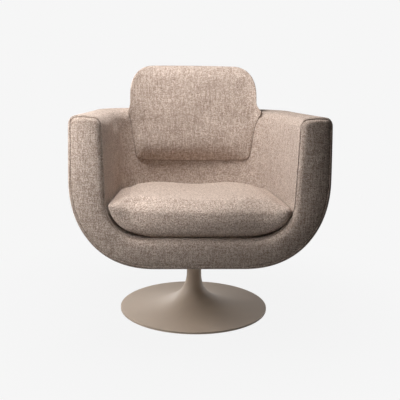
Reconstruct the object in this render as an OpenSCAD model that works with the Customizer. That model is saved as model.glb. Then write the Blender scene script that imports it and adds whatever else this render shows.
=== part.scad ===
// Pedestal swivel armchair: an upholstered tub chair that turns on a trumpet base.
// Z is the swivel axis, the sitter faces -Y, and z = 0 is the floor.

/* [Tub] */
// Overall width across the arms
tub_w = 764; // [740:2:800]
// Front face ahead of the swivel axis
tub_front = 345; // [330:1:360]
// Rear of the tub behind the swivel axis, at arm height
tub_back = 372; // [360:1:390]
// Arm height at the front, above the underside
arm_h = 447; // [430:1:470]
// Arm thickness at the front
arm_t = 94; // [88:1:102]
// Underside above the floor, at the swivel axis
tub_lift = 219; // [214:1:240]
// Backward lean of the whole tub, in degrees
tub_lean = 4.5; // [3:0.5:6]
// Extra fall of the arms towards the back, in degrees
arm_fall = 0; // [0:0.5:3]
// Half width of the flat underside
floor_half = 130; // [118:1:138]
// Height of the rounded lower corner of the tub
corner_h = 260; // [230:5:290]
// Height of the seat deck above the underside
deck_h = 90; // [84:1:96]
// Height of the rounded lower corner inside the tub
inner_corner_h = 110; // [95:1:120]
// How much narrower the inside is at its lower corner than at arm height, each side
inner_draw = 16; // [10:1:22]
// Inner back ahead of the outer back, at the deck
back_room = 204; // [190:1:215]
// Backward rake of the inner back, in degrees
back_rake = 10; // [7:0.5:12]

/* [Headrest and back pad] */
// Width of the headrest
head_w = 436; // [410:2:446]
// Top of the headrest above the tub's underside
head_h = 597; // [580:1:620]
// Corner radius of the headrest
head_r = 62; // [45:1:75]
// Bottom edge of the back pad above the tub's underside
pad_foot_h = 270; // [260:1:290]
// Half width of the back pad at its bottom edge
pad_foot_half = 184; // [170:1:192]
// Fullness of the back pad
pad_crown = 46; // [36:1:52]

/* [Seat cushion] */
// Cushion height at its side seams above the tub's underside
cushion_ear_h = 189; // [184:1:192]
// Highest part of the cushion above the tub's underside
cushion_top_h = 206; // [200:1:212]
// Bulge of the cushion's front ahead of the arms
cushion_bulge = 12; // [6:1:18]

/* [Pedestal] */
// Diameter of the base
base_d = 497; // [470:1:520]
// Diameter of the column
column_d = 49; // [48:0.5:54]
// Height at which the column starts to flare
flare_h = 132; // [115:1:145]
// Thickness of the base's edge
rim_h = 9; // [8:0.5:12]
// Wall of the spun base
skin_t = 2.5; // [2:0.1:3]

/* [Hidden] */
$fn = 96;

// Clearances
fit = 0.3;
slide_fit = 0.05;
over = 5;
big = 2000;

// Upholstery layers
cover_t = 3;
wadding_t = 8.4;
foam_t = 25;
edge_r = 18;
top_pad_t = 16.4;
border_d = 16;
border_r = 10;
border_crown = 3;

// Plan of the tub, as shares of its width and depth
side_share = 0.6;
side_taper_share = 0.095;
inner_side_share = 0.62;
inner_taper_share = 0.07;
floor_back_share = 0.42;
inner_floor_share = 0.55;
corner_n = 2.3;
plan_n = 2.7;
inner_plan_n = 2.4;

// Counts of facets
side_steps = 4;
turn_steps = 8;
half_steps = side_steps + turn_steps;
corner_steps = 10;
wall_steps = 3;
levels = corner_steps + wall_steps;

tub_half = tub_w / 2;
inner_half = tub_half - arm_t;

function mix(a, b, t) = a + (b - a) * t;
function bow(v, n) = sign(v) * pow(abs(v), 2 / n);
function arm_top(y) = arm_h - (y + tub_front) * tan(arm_fall);

// Half plan: j runs from the front edge to the middle of the back
function plan_x(j, side, taper, n) = j <= side_steps
  ? 1 - taper * j / side_steps
  : (1 - taper) * bow(cos(90 * (j - side_steps) / turn_steps), n);
function plan_y(j, side, taper, n) = j <= side_steps
  ? side * j / side_steps
  : side + (1 - side) * bow(sin(90 * (j - side_steps) / turn_steps), n);

// Outer and inner surface: k runs from the underside up to the arm top
function rise(k) = k < corner_steps ? 1 - bow(cos(90 * k / corner_steps), corner_n) : 1;
function spread(k) = k < corner_steps ? bow(sin(90 * k / corner_steps), corner_n) : 1;
function wall(k) = max(0, (k - corner_steps) / wall_steps);

function outer_y(j, k, inset) =
  let(back = mix(floor_back_share, 1, spread(k)) * tub_back)
  mix(inset - tub_front, back, plan_y(j, side_share, side_taper_share, plan_n));
function outer_pt(j, k, drop, inset) =
  let(y = outer_y(j, k, inset))
  [mix(floor_half, tub_half, spread(k)) * plan_x(j, side_share, side_taper_share, plan_n), y,
   mix(corner_h * rise(k), arm_top(y) - drop, wall(k))];

function inner_level(k, y, drop) =
  mix(deck_h + inner_corner_h * rise(k), arm_top(y) - drop, wall(k));
function inner_wall_y(z) = tub_back - back_room + (z - deck_h) * tan(back_rake);
function inner_half_at(k) = mix(mix(inner_floor_share, 1, spread(k)) * (inner_half - inner_draw),
                                inner_half, wall(k));
function inner_pt(j, k, drop, inset) =
  let(middle_z = inner_level(k, 0, drop))
  let(back = mix(inner_floor_share, 1, spread(k)) * inner_wall_y(middle_z))
  let(y = mix(inset - tub_front, back, plan_y(j, inner_side_share, inner_taper_share, inner_plan_n)))
  [inner_half_at(k) * plan_x(j, inner_side_share, inner_taper_share, inner_plan_n), y,
   inner_level(k, y, drop)];

// A point a given depth into the wall, measured from the outside or from the inside
function wall_pt(j, k, depth, from_inside, drop, inset) =
  let(a = outer_pt(j, k, drop, inset), b = inner_pt(j, k, drop, inset))
  let(through = k == 0 ? b[2] - a[2] : norm(b - a))
  from_inside ? b + (a - b) * depth / through : a + (b - a) * depth / through;
function both_sides(half) = [for (i = [0 : 2 * half_steps])
  let(j = i <= half_steps ? i : 2 * half_steps - i, p = half[j])
  [i < half_steps ? -p[0] : i == half_steps ? 0 : p[0], p[1], p[2]]];
function ring(k, depth, from_inside, drop, inset) =
  both_sides([for (j = [0 : half_steps]) wall_pt(j, k, depth, from_inside, drop, inset)]);
function lid_ring(depth, from_inside, drop, inset) =
  both_sides([for (j = [0 : half_steps])
    let(p = wall_pt(j, levels, depth, from_inside, 0, inset)) [p[0], p[1], p[2] - drop]]);

function quad(a, b, c, d) = [[a, b, c], [a, c, d]];
function flat_list(rows) = [for (r = rows) each r];
// Flat floor across an open ring of points, in strips from side to side
function floor_strips(start, n) = let(half = (n - 1) / 2) concat(
  flat_list([for (i = [0 : half - 2])
    quad(start + i, start + i + 1, start + n - 2 - i, start + n - 1 - i)]),
  [[start + half - 1, start + half, start + half + 1]]);
function turned(faces) = [for (f = faces) [f[2], f[1], f[0]]];

// Closed solid from a list of open rings: the first is underneath, the last is the deck
module tub_solid(rings) {
  n = len(rings[0]);
  m = len(rings);
  half = m / 2 - 1;
  points = flat_list(rings);
  faces = concat(
    turned(floor_strips(0, n)),
    floor_strips((m - 1) * n, n),
    flat_list([for (r = [0 : m - 2], i = [0 : n - 2])
      let(a = r * n + i, b = a + 1, c = a + n + 1, d = a + n)
      i < (n - 1) / 2 ? quad(a, b, c, d) : quad(b, c, d, a)]),
    flat_list([for (r = [0 : half - 1])
      quad(r * n, (r + 1) * n, (m - 2 - r) * n, (m - 1 - r) * n)]),
    flat_list([for (r = [0 : half - 1])
      quad((m - r) * n - 1, (m - 1 - r) * n - 1, (r + 2) * n - 1, (r + 1) * n - 1)]),
    quad(0, (m - 1) * n, m * n - 1, n - 1)
  );
  polyhedron(points, faces, convexity = 8);
}

// Closed solid from loops along a path
module path_solid(loops) {
  n = len(loops[0]);
  m = len(loops);
  faces = concat(
    [for (i = [0 : n - 3]) [n - 1, i + 1, i]],
    [for (i = [0 : n - 3]) (m - 1) * n * [1, 1, 1] + [n - 1, i, i + 1]],
    flat_list([for (s = [0 : m - 2], i = [0 : n - 1])
      quad(s * n + i, s * n + (i + 1) % n, (s + 1) * n + (i + 1) % n, (s + 1) * n + i)])
  );
  polyhedron(flat_list(loops), faces, convexity = 6);
}

// Closed solid from loops that close up at a first and a last point
module pillow_solid(first, loops, last) {
  n = len(loops[0]);
  m = len(loops);
  faces = concat(
    [for (i = [0 : n - 1]) [m * n, i, (i + 1) % n]],
    [for (i = [0 : n - 1]) [m * n + 1, (m - 1) * n + (i + 1) % n, (m - 1) * n + i]],
    flat_list([for (r = [0 : m - 2], i = [0 : n - 1])
      quad(r * n + i, (r + 1) * n + i, (r + 1) * n + (i + 1) % n, r * n + (i + 1) % n)])
  );
  polyhedron(concat(flat_list(loops), [first, last]), faces, convexity = 6);
}

module in_tub() translate([0, 0, tub_lift]) rotate([-tub_lean, 0, 0]) children();

// Depths of the layers in the tub's wall
inset = border_d + fit;
top_drop = cover_t + fit + top_pad_t;
wadding_in = cover_t + fit + wadding_t;
foam_in = cover_t + fit + foam_t;
cavity_out = wadding_in + 2 * fit;
cavity_in = foam_in + fit;
frame_drop = top_drop + fit;

module wall_layer(out_depth, out_from_inside, in_depth, in_from_inside, drop)
  tub_solid(concat(
    [for (k = [0 : levels]) ring(k, out_depth, out_from_inside, drop, inset)],
    [for (k = [levels : -1 : 0]) ring(k, in_depth, in_from_inside, drop, inset)]));

// Room for the timber frame between the two padded skins
module cavity() wall_layer(cavity_out, false, cavity_in, true, frame_drop);

// Pedestal
base_r = base_d / 2;
column_r = column_d / 2;
neck_top = 178;
foot_h = 3;
flare_n = 2.6;
flare_steps = 40;
function flare_pt(t, inner) = [
  base_r - (base_r - column_r + inner) * bow(cos(t), flare_n),
  flare_h - (flare_h - rim_h + inner) * bow(sin(t), flare_n)];
hub_angle = 45;
tube_r = column_r - skin_t - fit;
tube_t = 3;
tube_in = tube_r - tube_t;
tube_rise = 3;
tube_foot = foot_h + tube_rise;
spindle_r = 12.5;
nut_lip = 12;
nut_r = tube_r + nut_lip;
nut_h = 7;
washer_h = 2.4;
washer_lip = 1;
recess_gap = 3;
recess_r = nut_r + recess_gap;
recess_h = tube_foot + nut_h + fit + washer_h + fit;
pad_edge = 8;

module base_trumpet() color([0.64, 0.58, 0.50]) rotate_extrude() polygon(concat(
  [[column_r, neck_top]],
  [for (i = [0 : flare_steps]) flare_pt(90 * i / flare_steps, 0)],
  [[base_r, foot_h], [base_r - skin_t, foot_h], [base_r - skin_t, rim_h - skin_t]],
  [for (i = [flare_steps - 1 : -1 : 0]) let(p = flare_pt(90 * i / flare_steps, skin_t))
    [min(p[0], base_r - skin_t), p[1]]],
  [[column_r - skin_t, neck_top]]));

module ballast_plate() color("dimgray") difference() {
  rotate_extrude() polygon(concat(
    [[tube_r + slide_fit, foot_h], [base_r - skin_t - fit, foot_h],
     [base_r - skin_t - fit, rim_h - skin_t - fit]],
    [for (i = [flare_steps - 1 : -1 : flare_steps / 2])
      let(p = flare_pt(90 * i / flare_steps, skin_t + fit))
      [min(p[0], base_r - skin_t - fit), p[1]]],
    [[tube_r + slide_fit, flare_pt(hub_angle, skin_t + fit)[1]]]));
  translate([0, 0, foot_h - over]) cylinder(r = recess_r, h = over + recess_h - foot_h);
}

module floor_pad() color("black") cylinder(r = base_r - pad_edge, h = foot_h - fit);

flange_h = 4;
flange_z = neck_top + fit;
module column_tube() color("silver") rotate_extrude() polygon([
  [tube_in, tube_foot], [tube_r, tube_foot], [tube_r, flange_z], [column_r, flange_z],
  [column_r, flange_z + flange_h], [tube_in, flange_z + flange_h]]);

module column_washer() color("silver") translate([0, 0, tube_foot + nut_h + fit]) difference() {
  cylinder(r = nut_r, h = washer_h);
  translate([0, 0, -over]) cylinder(r = tube_r + fit, h = washer_h + 2 * over);
}

module column_nut() color("gray") translate([0, 0, tube_foot]) difference() {
  cylinder(r = nut_r, h = nut_h, $fn = 6);
  translate([0, 0, -over]) cylinder(r = tube_r + slide_fit, h = nut_h + 2 * over);
}

plug_h = 8;
plug_lip = 1.8;
module column_plug() color("black") {
  translate([0, 0, tube_foot - fit - plug_lip]) cylinder(r = tube_r - plug_lip / 2, h = plug_lip);
  translate([0, 0, tube_foot - fit - plug_lip]) cylinder(r = tube_in - slide_fit, h = plug_h + plug_lip);
}

// Bearings
bush_h = 25;
upper_bush_h = 32;
bush_flange_h = 2.4;
lower_bush_z = 30;
bush_top = flange_z + flange_h + fit + bush_flange_h;
race_h = 3;
race_inset = 0.5;
race_r = column_r - race_inset;
race_gap = 0.7;
race_bore = spindle_r + race_gap;
ball_r = 3.5;
ball_count = 12;
ball_clear = 0.12;
ball_sink = 1.1;
pitch_r = (race_r + race_bore) / 2;
ball_z = bush_top + fit + race_h + ball_r - ball_sink + ball_clear;
cage_h = 3;

module bush(height, flange) color("ivory") difference() {
  union() {
    cylinder(r = tube_in - slide_fit, h = height);
    if (flange > 0) translate([0, 0, height - flange]) cylinder(r = race_r, h = flange);
  }
  translate([0, 0, -over]) cylinder(r = spindle_r + slide_fit, h = height + 2 * over);
}
module upper_bush() translate([0, 0, bush_top - upper_bush_h]) bush(upper_bush_h, bush_flange_h);
module lower_bush() translate([0, 0, lower_bush_z]) bush(bush_h, 0);

module race() color("silver") difference() {
  cylinder(r = race_r, h = race_h);
  translate([0, 0, -over]) cylinder(r = race_bore, h = race_h + 2 * over);
}
module ball_track() translate([0, 0, ball_z]) rotate_extrude()
  translate([pitch_r, 0]) circle(r = ball_r + ball_clear);
module lower_race() color("silver") difference() {
  translate([0, 0, bush_top + fit]) race();
  ball_track();
}
race_z = ball_z + ball_r - ball_sink + ball_clear;
module upper_race() color("silver") difference() {
  translate([0, 0, race_z]) race();
  ball_track();
}
module ball_places() for (i = [0 : ball_count - 1]) rotate([0, 0, 360 * i / ball_count])
  translate([pitch_r, 0, ball_z]) children();
module ball_cage() color("goldenrod") difference() {
  translate([0, 0, ball_z - cage_h / 2]) difference() {
    cylinder(r = race_r - fit, h = cage_h);
    translate([0, 0, -over]) cylinder(r = race_bore + fit, h = cage_h + 2 * over);
  }
  ball_places() translate([0, 0, -over]) cylinder(r = ball_r + ball_clear, h = 2 * over, $fn = 32);
}
module bearing_balls() color("silver") ball_places() sphere(r = ball_r, $fn = 32);

// Spindle, its clip and the plate that carries the tub
clip_h = 2.2;
clip_lip = 3.5;
clip_r = spindle_r + clip_lip;
groove_d = 1.8;
groove_r = spindle_r - groove_d;
clip_z = lower_bush_z - fit - washer_h - fit - clip_h;
spindle_end = 5;
spindle_foot = clip_z - spindle_end;
plate_t = 6;
plate_half = 80;
plate_corner = 15;
plate_seat = 0.1;
plate_top = cavity_out - plate_seat;
spindle_top = tub_lift + plate_top - plate_t - spindle_r * tan(tub_lean) - fit;
hub_foot = race_z + race_h + fit;
hub_wall = 6;
hub_r = column_r + hub_wall;
skirt_t = 3;
skirt_foot = flange_z;
rib_t = 6;
rib_reach = plate_half - plate_corner / 2;
bolt_half = 60;
bolt_r = 4;
bolt_head_r = 7;
bolt_head_h = 4.5;
board_t = 15;

module swivel_spindle() color("silver") difference() {
  translate([0, 0, spindle_foot]) cylinder(r = spindle_r, h = spindle_top - spindle_foot);
  translate([0, 0, clip_z - slide_fit]) difference() {
    cylinder(r = spindle_r + over, h = clip_h + 2 * slide_fit);
    translate([0, 0, -over]) cylinder(r = groove_r, h = clip_h + 2 * over);
  }
}
clip_gap = 9;
module retaining_clip() color("dimgray") translate([0, 0, clip_z]) difference() {
  cylinder(r = clip_r, h = clip_h);
  translate([0, 0, -over]) cylinder(r = groove_r + slide_fit, h = clip_h + 2 * over);
  translate([0, -clip_gap / 2, -over]) cube([clip_r + over, clip_gap, clip_h + 2 * over]);
}
module spindle_washer() color("silver") translate([0, 0, clip_z + clip_h + fit]) difference() {
  cylinder(r = tube_in - washer_lip, h = washer_h);
  translate([0, 0, -over]) cylinder(r = spindle_r + slide_fit, h = washer_h + 2 * over);
}

module bolt_places() for (x = [-bolt_half, bolt_half], y = [-bolt_half, bolt_half])
  translate([x, y, 0]) children();
module hub_plate() color([0.2, 0.2, 0.21]) {
  in_tub() translate([0, 0, plate_top - plate_t]) difference() {
    union() {
      for (q = [0, 90]) rotate([0, 0, q]) translate([-plate_half, plate_corner - plate_half, 0])
        cube([2 * plate_half, 2 * (plate_half - plate_corner), plate_t]);
      for (x = [-1, 1], y = [-1, 1])
        translate([x * (plate_half - plate_corner), y * (plate_half - plate_corner), 0])
        cylinder(r = plate_corner, h = plate_t);
    }
    bolt_places() translate([0, 0, -over]) cylinder(r = bolt_r + fit, h = plate_t + 2 * over);
  }
  difference() {
    union() {
      translate([0, 0, hub_foot]) cylinder(r = hub_r, h = tub_lift + plate_top - hub_foot);
      for (q = [0 : 3]) rotate([0, 0, 90 * q + 45]) translate([0, rib_t / 2, 0]) rotate([90, 0, 0])
        linear_extrude(rib_t) polygon([[0, hub_foot + rib_t], [hub_r, hub_foot + rib_t],
          [rib_reach, spindle_top], [rib_reach, tub_lift + plate_top], [0, tub_lift + plate_top]]);
      translate([0, 0, skirt_foot]) cylinder(r = hub_r, h = hub_foot - skirt_foot);
    }
    in_tub() translate([-tub_w, -tub_w, plate_top]) cube([2 * tub_w, 2 * tub_w, tub_lift]);
    translate([0, 0, hub_foot - over]) cylinder(r = spindle_r + slide_fit, h = spindle_top + fit - hub_foot + over);
    translate([0, 0, skirt_foot - over]) cylinder(r = hub_r - skirt_t, h = hub_foot - skirt_foot + over);
  }
}

tee_flange_h = 1.5;
tee_flange_r = 11;
tee_wall = 1.4;
tee_r = bolt_r + tee_wall;
bolt_reach = 4;
bolt_end = cavity_out + board_t + tee_flange_h + bolt_reach;
plate_foot = plate_top - plate_t;
small_washer_h = 1.5;
module plate_bolts() color("silver") in_tub() bolt_places() {
  translate([0, 0, plate_foot - fit - small_washer_h - fit - bolt_head_h])
    cylinder(r = bolt_head_r, h = bolt_head_h, $fn = 6);
  translate([0, 0, plate_foot - 2 * fit - small_washer_h])
    cylinder(r = bolt_r, h = bolt_end - plate_foot + 2 * fit + small_washer_h);
}
module plate_washers() color("silver") in_tub() bolt_places()
  translate([0, 0, plate_foot - fit - small_washer_h]) difference() {
    cylinder(r = bolt_head_r + washer_lip, h = small_washer_h);
    translate([0, 0, -over]) cylinder(r = bolt_r + fit, h = small_washer_h + 2 * over);
  }
module tee_nuts() color("silver") in_tub() bolt_places() difference() {
  union() {
    translate([0, 0, cavity_out + over / 2]) cylinder(r = tee_r, h = board_t - over / 2 + fit);
    translate([0, 0, cavity_out + board_t + fit]) cylinder(r = tee_flange_r, h = tee_flange_h);
  }
  cylinder(r = bolt_r + slide_fit, h = big);
}

// Timber frame inside the tub's wall
former_t = 18;
rail_t = 18;
board_edge = 9;
former_y = inset - tub_front + fit;
former_back = former_y + former_t;
rear_former_y = bolt_half + tee_flange_r + board_edge;
waist_z = 200;
rail_half = 170;
web_t = 1.8;
web_w = 50;
web_count = 5;
web_half = 232;
web_z = deck_h - cavity_in - web_t - fit;
post_top_drop = frame_drop + rail_t + fit;

module slab(y0, y1, z0, z1) translate([-tub_w, y0, z0]) cube([2 * tub_w, y1 - y0, z1 - z0]);
module timber() color("burlywood") in_tub() intersection() {
  cavity();
  children();
}
// Region under the arm tops, a given drop below them
module below_arm_top(drop) translate([0, -tub_front, arm_h - drop]) rotate([-arm_fall, 0, 0])
  translate([-tub_w, -tub_w, -big]) cube([2 * tub_w, 3 * tub_w, big]);

module front_former() timber() slab(former_y, former_back, -over, big);
module rear_former() timber() slab(rear_former_y, rear_former_y + former_t, -over, waist_z - fit);
module waist_rail() timber() slab(former_back + fit, tub_back, waist_z, waist_z + rail_t);
module arm_posts() timber() intersection() {
  slab(rear_former_y, rear_former_y + former_t, waist_z + rail_t + fit, big);
  below_arm_top(post_top_drop);
}
module arm_top_rail() timber() difference() {
  slab(former_back + fit, tub_back, waist_z, big);
  below_arm_top(frame_drop + rail_t);
  panel_slot(fit);
}
module seat_board() color("burlywood") difference() {
  timber() slab(former_back + fit, rear_former_y - fit, cavity_out, cavity_out + board_t);
  in_tub() bolt_places() cylinder(r = tee_r + slide_fit, h = cavity_out + board_t + over);
}
module seat_rail() timber() intersection() {
  slab(former_back + fit, rear_former_y - fit, cavity_out + board_t + fit, web_z - fit);
  translate([rail_half, -tub_w, 0]) cube([tub_w, 2 * tub_w, tub_w]);
}
module seat_rail_right() seat_rail();
module seat_rail_left() mirror([1, 0, 0]) seat_rail();
module seat_webbing() color("olive") in_tub() {
  run = rear_former_y - former_back - web_w;
  for (i = [0 : web_count - 1])
    translate([-web_half, former_back + web_w / 4 + i * (run + web_w / 2) / web_count, web_z])
      cube([2 * web_half, web_w, web_t]);
}

// Board that stands on the waist rail and carries the headrest
panel_half = 180;
panel_t = 15;
panel_y = 300;
panel_drop = 37;
panel_top = head_h - panel_drop;
module panel_slot(gap)
  translate([-panel_half - gap, panel_y - gap, waist_z + rail_t + fit - gap])
    cube([2 * (panel_half + gap), panel_t + 2 * gap, panel_top - waist_z - rail_t - fit + 2 * gap]);
module headrest_panel() color("burlywood") in_tub() panel_slot(0);

// Padding and covers
module outer_wadding() color("whitesmoke") difference() {
  in_tub() wall_layer(cover_t + fit, false, wadding_in, false, top_drop);
  floor_hole();
}
hole_edge = 8;
hole_r = floor_half - hole_edge;
module floor_hole() in_tub() translate([0, 0, -over]) cylinder(r = hole_r, h = wadding_in + 2 * over);
module inner_foam() color("khaki") in_tub() wall_layer(foam_in, true, cover_t + fit, true, top_drop);
module inner_lining() color([0.70, 0.60, 0.52]) in_tub()
  wall_layer(cover_t, true, 0, true, edge_r + fit);

edge_side = edge_r * (1 - cos(45));
under_r = edge_r - cover_t;
under_side = cover_t + under_r * (1 - cos(45));
module arm_top_pad() color("khaki") in_tub() difference() {
  tub_lid_pad();
  panel_slot(fit);
}
// A strip of foam on the top rail, between the two rounded edges
module tub_lid_pad() {
  n = 2 * half_steps + 1;
  low = top_drop - fit;
  high = cover_t + fit;
  loops = [for (i = [0 : n - 1]) [lid_ring(edge_r, false, high, inset)[i],
    lid_ring(edge_r, true, high, inset)[i], lid_ring(edge_r, true, low, inset)[i],
    lid_ring(edge_r, false, low, inset)[i]]];
  path_solid([for (loop = loops) [loop[3], loop[2], loop[1], loop[0]]]);
}
module outer_cover() color([0.70, 0.60, 0.52]) difference() {
  in_tub() tub_solid(concat(
    [for (k = [0 : levels]) ring(k, 0, false, edge_r, inset)],
    [lid_ring(edge_side, false, edge_side, inset), lid_ring(edge_r, false, 0, inset),
     lid_ring(edge_r, true, 0, inset), lid_ring(edge_side, true, edge_side, inset),
     lid_ring(0, true, edge_r, inset)],
    [lid_ring(cover_t, true, edge_r, inset), lid_ring(under_side, true, under_side, inset),
     lid_ring(edge_r, true, cover_t, inset), lid_ring(edge_r, false, cover_t, inset),
     lid_ring(under_side, false, under_side, inset)],
    [for (k = [levels : -1 : 0]) ring(k, cover_t, false, edge_r, inset)]));
  floor_hole();
  in_tub() panel_slot(fit);
}

// U-shaped border round the front
function border_y(d, w) =
  let(e = max(0, border_r - min(d, w - d)))
  border_r - sqrt(border_r * border_r - e * e) - border_crown * sin(180 * d / w);
function border_loop(k, side, trim, drop) =
  let(a = wall_pt(0, k, 0, false, edge_r, 0), b = wall_pt(0, k, 0, true, edge_r, 0))
  let(w = norm(b - a), dir = (b - a) / w, v = w - 2 * trim, up = [0, 0, edge_r - drop])
  let(tuck = border_r * (edge_r - drop) / edge_r, front_e = border_r * (1 - cos(45)))
  let(ds = [0, front_e, border_r, v / 2, v - border_r, v - front_e, v])
  let(pts = concat(
    [for (d = ds) a + dir * (trim + d) + up + [0, mix(border_y(d, v), border_r, tuck / border_r), 0]],
    [b - dir * trim + up + [0, border_d, 0], a + dir * trim + up + [0, border_d, 0]]))
  [for (p = pts) [side * p[0], p[1], p[2]]];
module front_border() color([0.70, 0.60, 0.52]) in_tub() path_solid(concat(
  [border_loop(levels, -1, edge_r, 0), border_loop(levels, -1, edge_side, edge_side)],
  [for (k = [levels : -1 : 0]) border_loop(k, -1, 0, edge_r)],
  [for (k = [0 : levels]) border_loop(k, 1, 0, edge_r)],
  [border_loop(levels, 1, edge_side, edge_side), border_loop(levels, 1, edge_r, 0)]));

// Inner back as a surface, with the flat runs between its plan points
function lining_pts(z) =
  let(h = mix(inner_half - inner_draw, inner_half,
              (z - deck_h - inner_corner_h) / (arm_h - edge_r - deck_h - inner_corner_h)))
  let(b = inner_wall_y(z))
  [for (j = [half_steps : -1 : side_steps])
    [h * plan_x(j, inner_side_share, inner_taper_share, inner_plan_n),
     mix(inset - tub_front, b, plan_y(j, inner_side_share, inner_taper_share, inner_plan_n))]];
function along(pts, x, i) = i >= len(pts) - 2 || x <= pts[i + 1][0]
  ? mix(pts[i][1], pts[i + 1][1], (x - pts[i][0]) / (pts[i + 1][0] - pts[i][0]))
  : along(pts, x, i + 1);
function lining_y(x, z) = along(lining_pts(z), abs(x), 0);
function outer_back_pts() = [for (j = [half_steps : -1 : side_steps])
  let(p = outer_pt(j, levels, 0, inset)) [p[0], p[1]]];
function outer_back_y(x) = along(outer_back_pts(), abs(x), 0);

// Outline of the back pad and headrest, seen from the front
head_half = head_w / 2;
arm_line = arm_h - (panel_y + tub_front) * tan(arm_fall);
pad_foot_r = 30;
pad_gap = 0.8;
pad_side_share = 0.6;
arc_steps = 6;
edge_steps = 6;
// Points between the ends of a straight edge
function between(p, q) = [for (i = [1 : edge_steps - 1]) mix(p, q, i / edge_steps)];
function arc(cx, cz, r, from, to) = [for (i = [0 : arc_steps])
  let(a = mix(from, to, i / arc_steps)) [cx + r * cos(a), cz + r * sin(a)]];
function flip(pts) = [for (i = [len(pts) - 1 : -1 : 0]) [-pts[i][0], pts[i][1]]];
function pad_outline() =
  let(foot_x = pad_foot_half - pad_foot_r, top_x = head_half - head_r)
  let(right = concat(
    arc(foot_x, pad_foot_h + pad_foot_r, pad_foot_r, -90, -10),
    [[mix(pad_foot_half, head_half, pad_side_share), mix(pad_foot_h, arm_line, pad_side_share)],
     [head_half, arm_line]],
    arc(top_x, head_h - head_r, head_r, 0, 90)))
  concat(right, between([top_x, head_h], [-top_x, head_h]), flip(right),
         between([-foot_x, pad_foot_h], [foot_x, pad_foot_h]));
pad_steps = 6;
pad_n = 2.7;
function pad_loop(angle, front) =
  let(mid = (pad_foot_h + head_h) / 2, s = bow(cos(angle), pad_n), t = pad_crown * bow(sin(angle), pad_n))
  [for (p = pad_outline()) let(x = p[0] * s, z = mid + (p[1] - mid) * s)
    [x, lining_y(x, z) - pad_gap - (front ? t : 0), z]];
module back_pad() color([0.70, 0.60, 0.52]) in_tub() pad_body();
module pad_body() {
  mid = (pad_foot_h + head_h) / 2;
  y = lining_y(0, mid) - pad_gap;
  pillow_solid([0, y, mid],
    concat([for (i = [pad_steps - 1 : -1 : 1]) pad_loop(90 * i / pad_steps, false)],
           [for (i = [0 : pad_steps - 1]) pad_loop(90 * i / pad_steps, true)]),
    [0, y - pad_crown, mid]);
}

// Headrest behind the pad
head_edge = 40;
head_steps = 5;
head_core_share = 0.4;
head_foot = arm_line + fit;
head_mid = (head_foot + head_h) / 2;
function head_outline() =
  let(top_x = head_half - head_r)
  let(right = concat([[head_half, head_foot]], arc(top_x, head_h - head_r, head_r, 0, 90)))
  concat(right, between([top_x, head_h], [-top_x, head_h]), flip(right),
         between([-head_half, head_foot], [head_half, head_foot]));
function head_loop(s, in_front, tuck) =
  [for (p = head_outline())
    let(x = p[0] * s, z = head_mid + (p[1] - head_mid) * s)
    let(y = in_front ? lining_y(x, z) + pad_gap : outer_back_y(x) - tuck)
    [x, y, z - (y - panel_y) * tan(arm_fall)]];
function head_pole(y) = [0, y, head_mid - (y - panel_y) * tan(arm_fall)];
module headrest_body() color([0.70, 0.60, 0.52]) in_tub() difference() {
  flat_share = 1 - head_edge / head_half;
  pillow_solid(head_pole(outer_back_y(0)),
    concat([head_loop(head_core_share, false, 0)],
           [for (i = [0 : head_steps]) let(a = 90 * i / head_steps)
             head_loop(mix(flat_share, 1, sin(a)), false, head_edge * (1 - cos(a)))],
           [for (t = [0 : head_steps]) head_loop(1 - t / (head_steps + 1), true, 0)]),
    head_pole(lining_y(0, head_mid) + pad_gap));
  panel_slot(fit);
  translate([0, fit, 0]) pad_body();
}

// Loose seat cushion: its sides and rear follow the inside of the tub
cushion_gap = 4.5;
cushion_corner = 28;
corner_points = 4;
front_points = 4;
rise_steps = 6;
crown_steps = 7;
cushion_mid_y = -80;
cushion_crown_n = 3.6;
front_dip = 24;
foot_round = 12;
foot_n = 4;
forward_n = 6;
cushion_foot = deck_h + 2 * fit;
function inner_spread(z) =
  let(t = min(1, max(0, (z - deck_h) / inner_corner_h)))
  mix(inner_floor_share, 1, pow(1 - pow(1 - t, corner_n), 1 / corner_n));
function cushion_plan(z, front) =
  let(half = inner_spread(z) * (inner_half - inner_draw) - cushion_gap)
  let(back = inner_spread(z) * inner_wall_y(z) - cushion_gap)
  let(reach = half - cushion_corner)
  let(right = concat(
    [for (i = [0 : front_points - 1]) let(x = i / front_points)
      [x * reach, -front - cushion_bulge * (1 - x * x)]],
    [for (i = [0 : corner_points]) let(a = 90 * i / corner_points - 90)
      [reach + cushion_corner * cos(a), cushion_corner * (1 + sin(a)) - front]],
    [for (j = [1 : half_steps])
      [half * plan_x(j, inner_side_share, inner_taper_share, inner_plan_n),
       mix(-tub_front, back, plan_y(j, inner_side_share, inner_taper_share, inner_plan_n))]]))
  concat(right, [for (i = [len(right) - 2 : -1 : 1]) [-right[i][0], right[i][1]]]);
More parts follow.
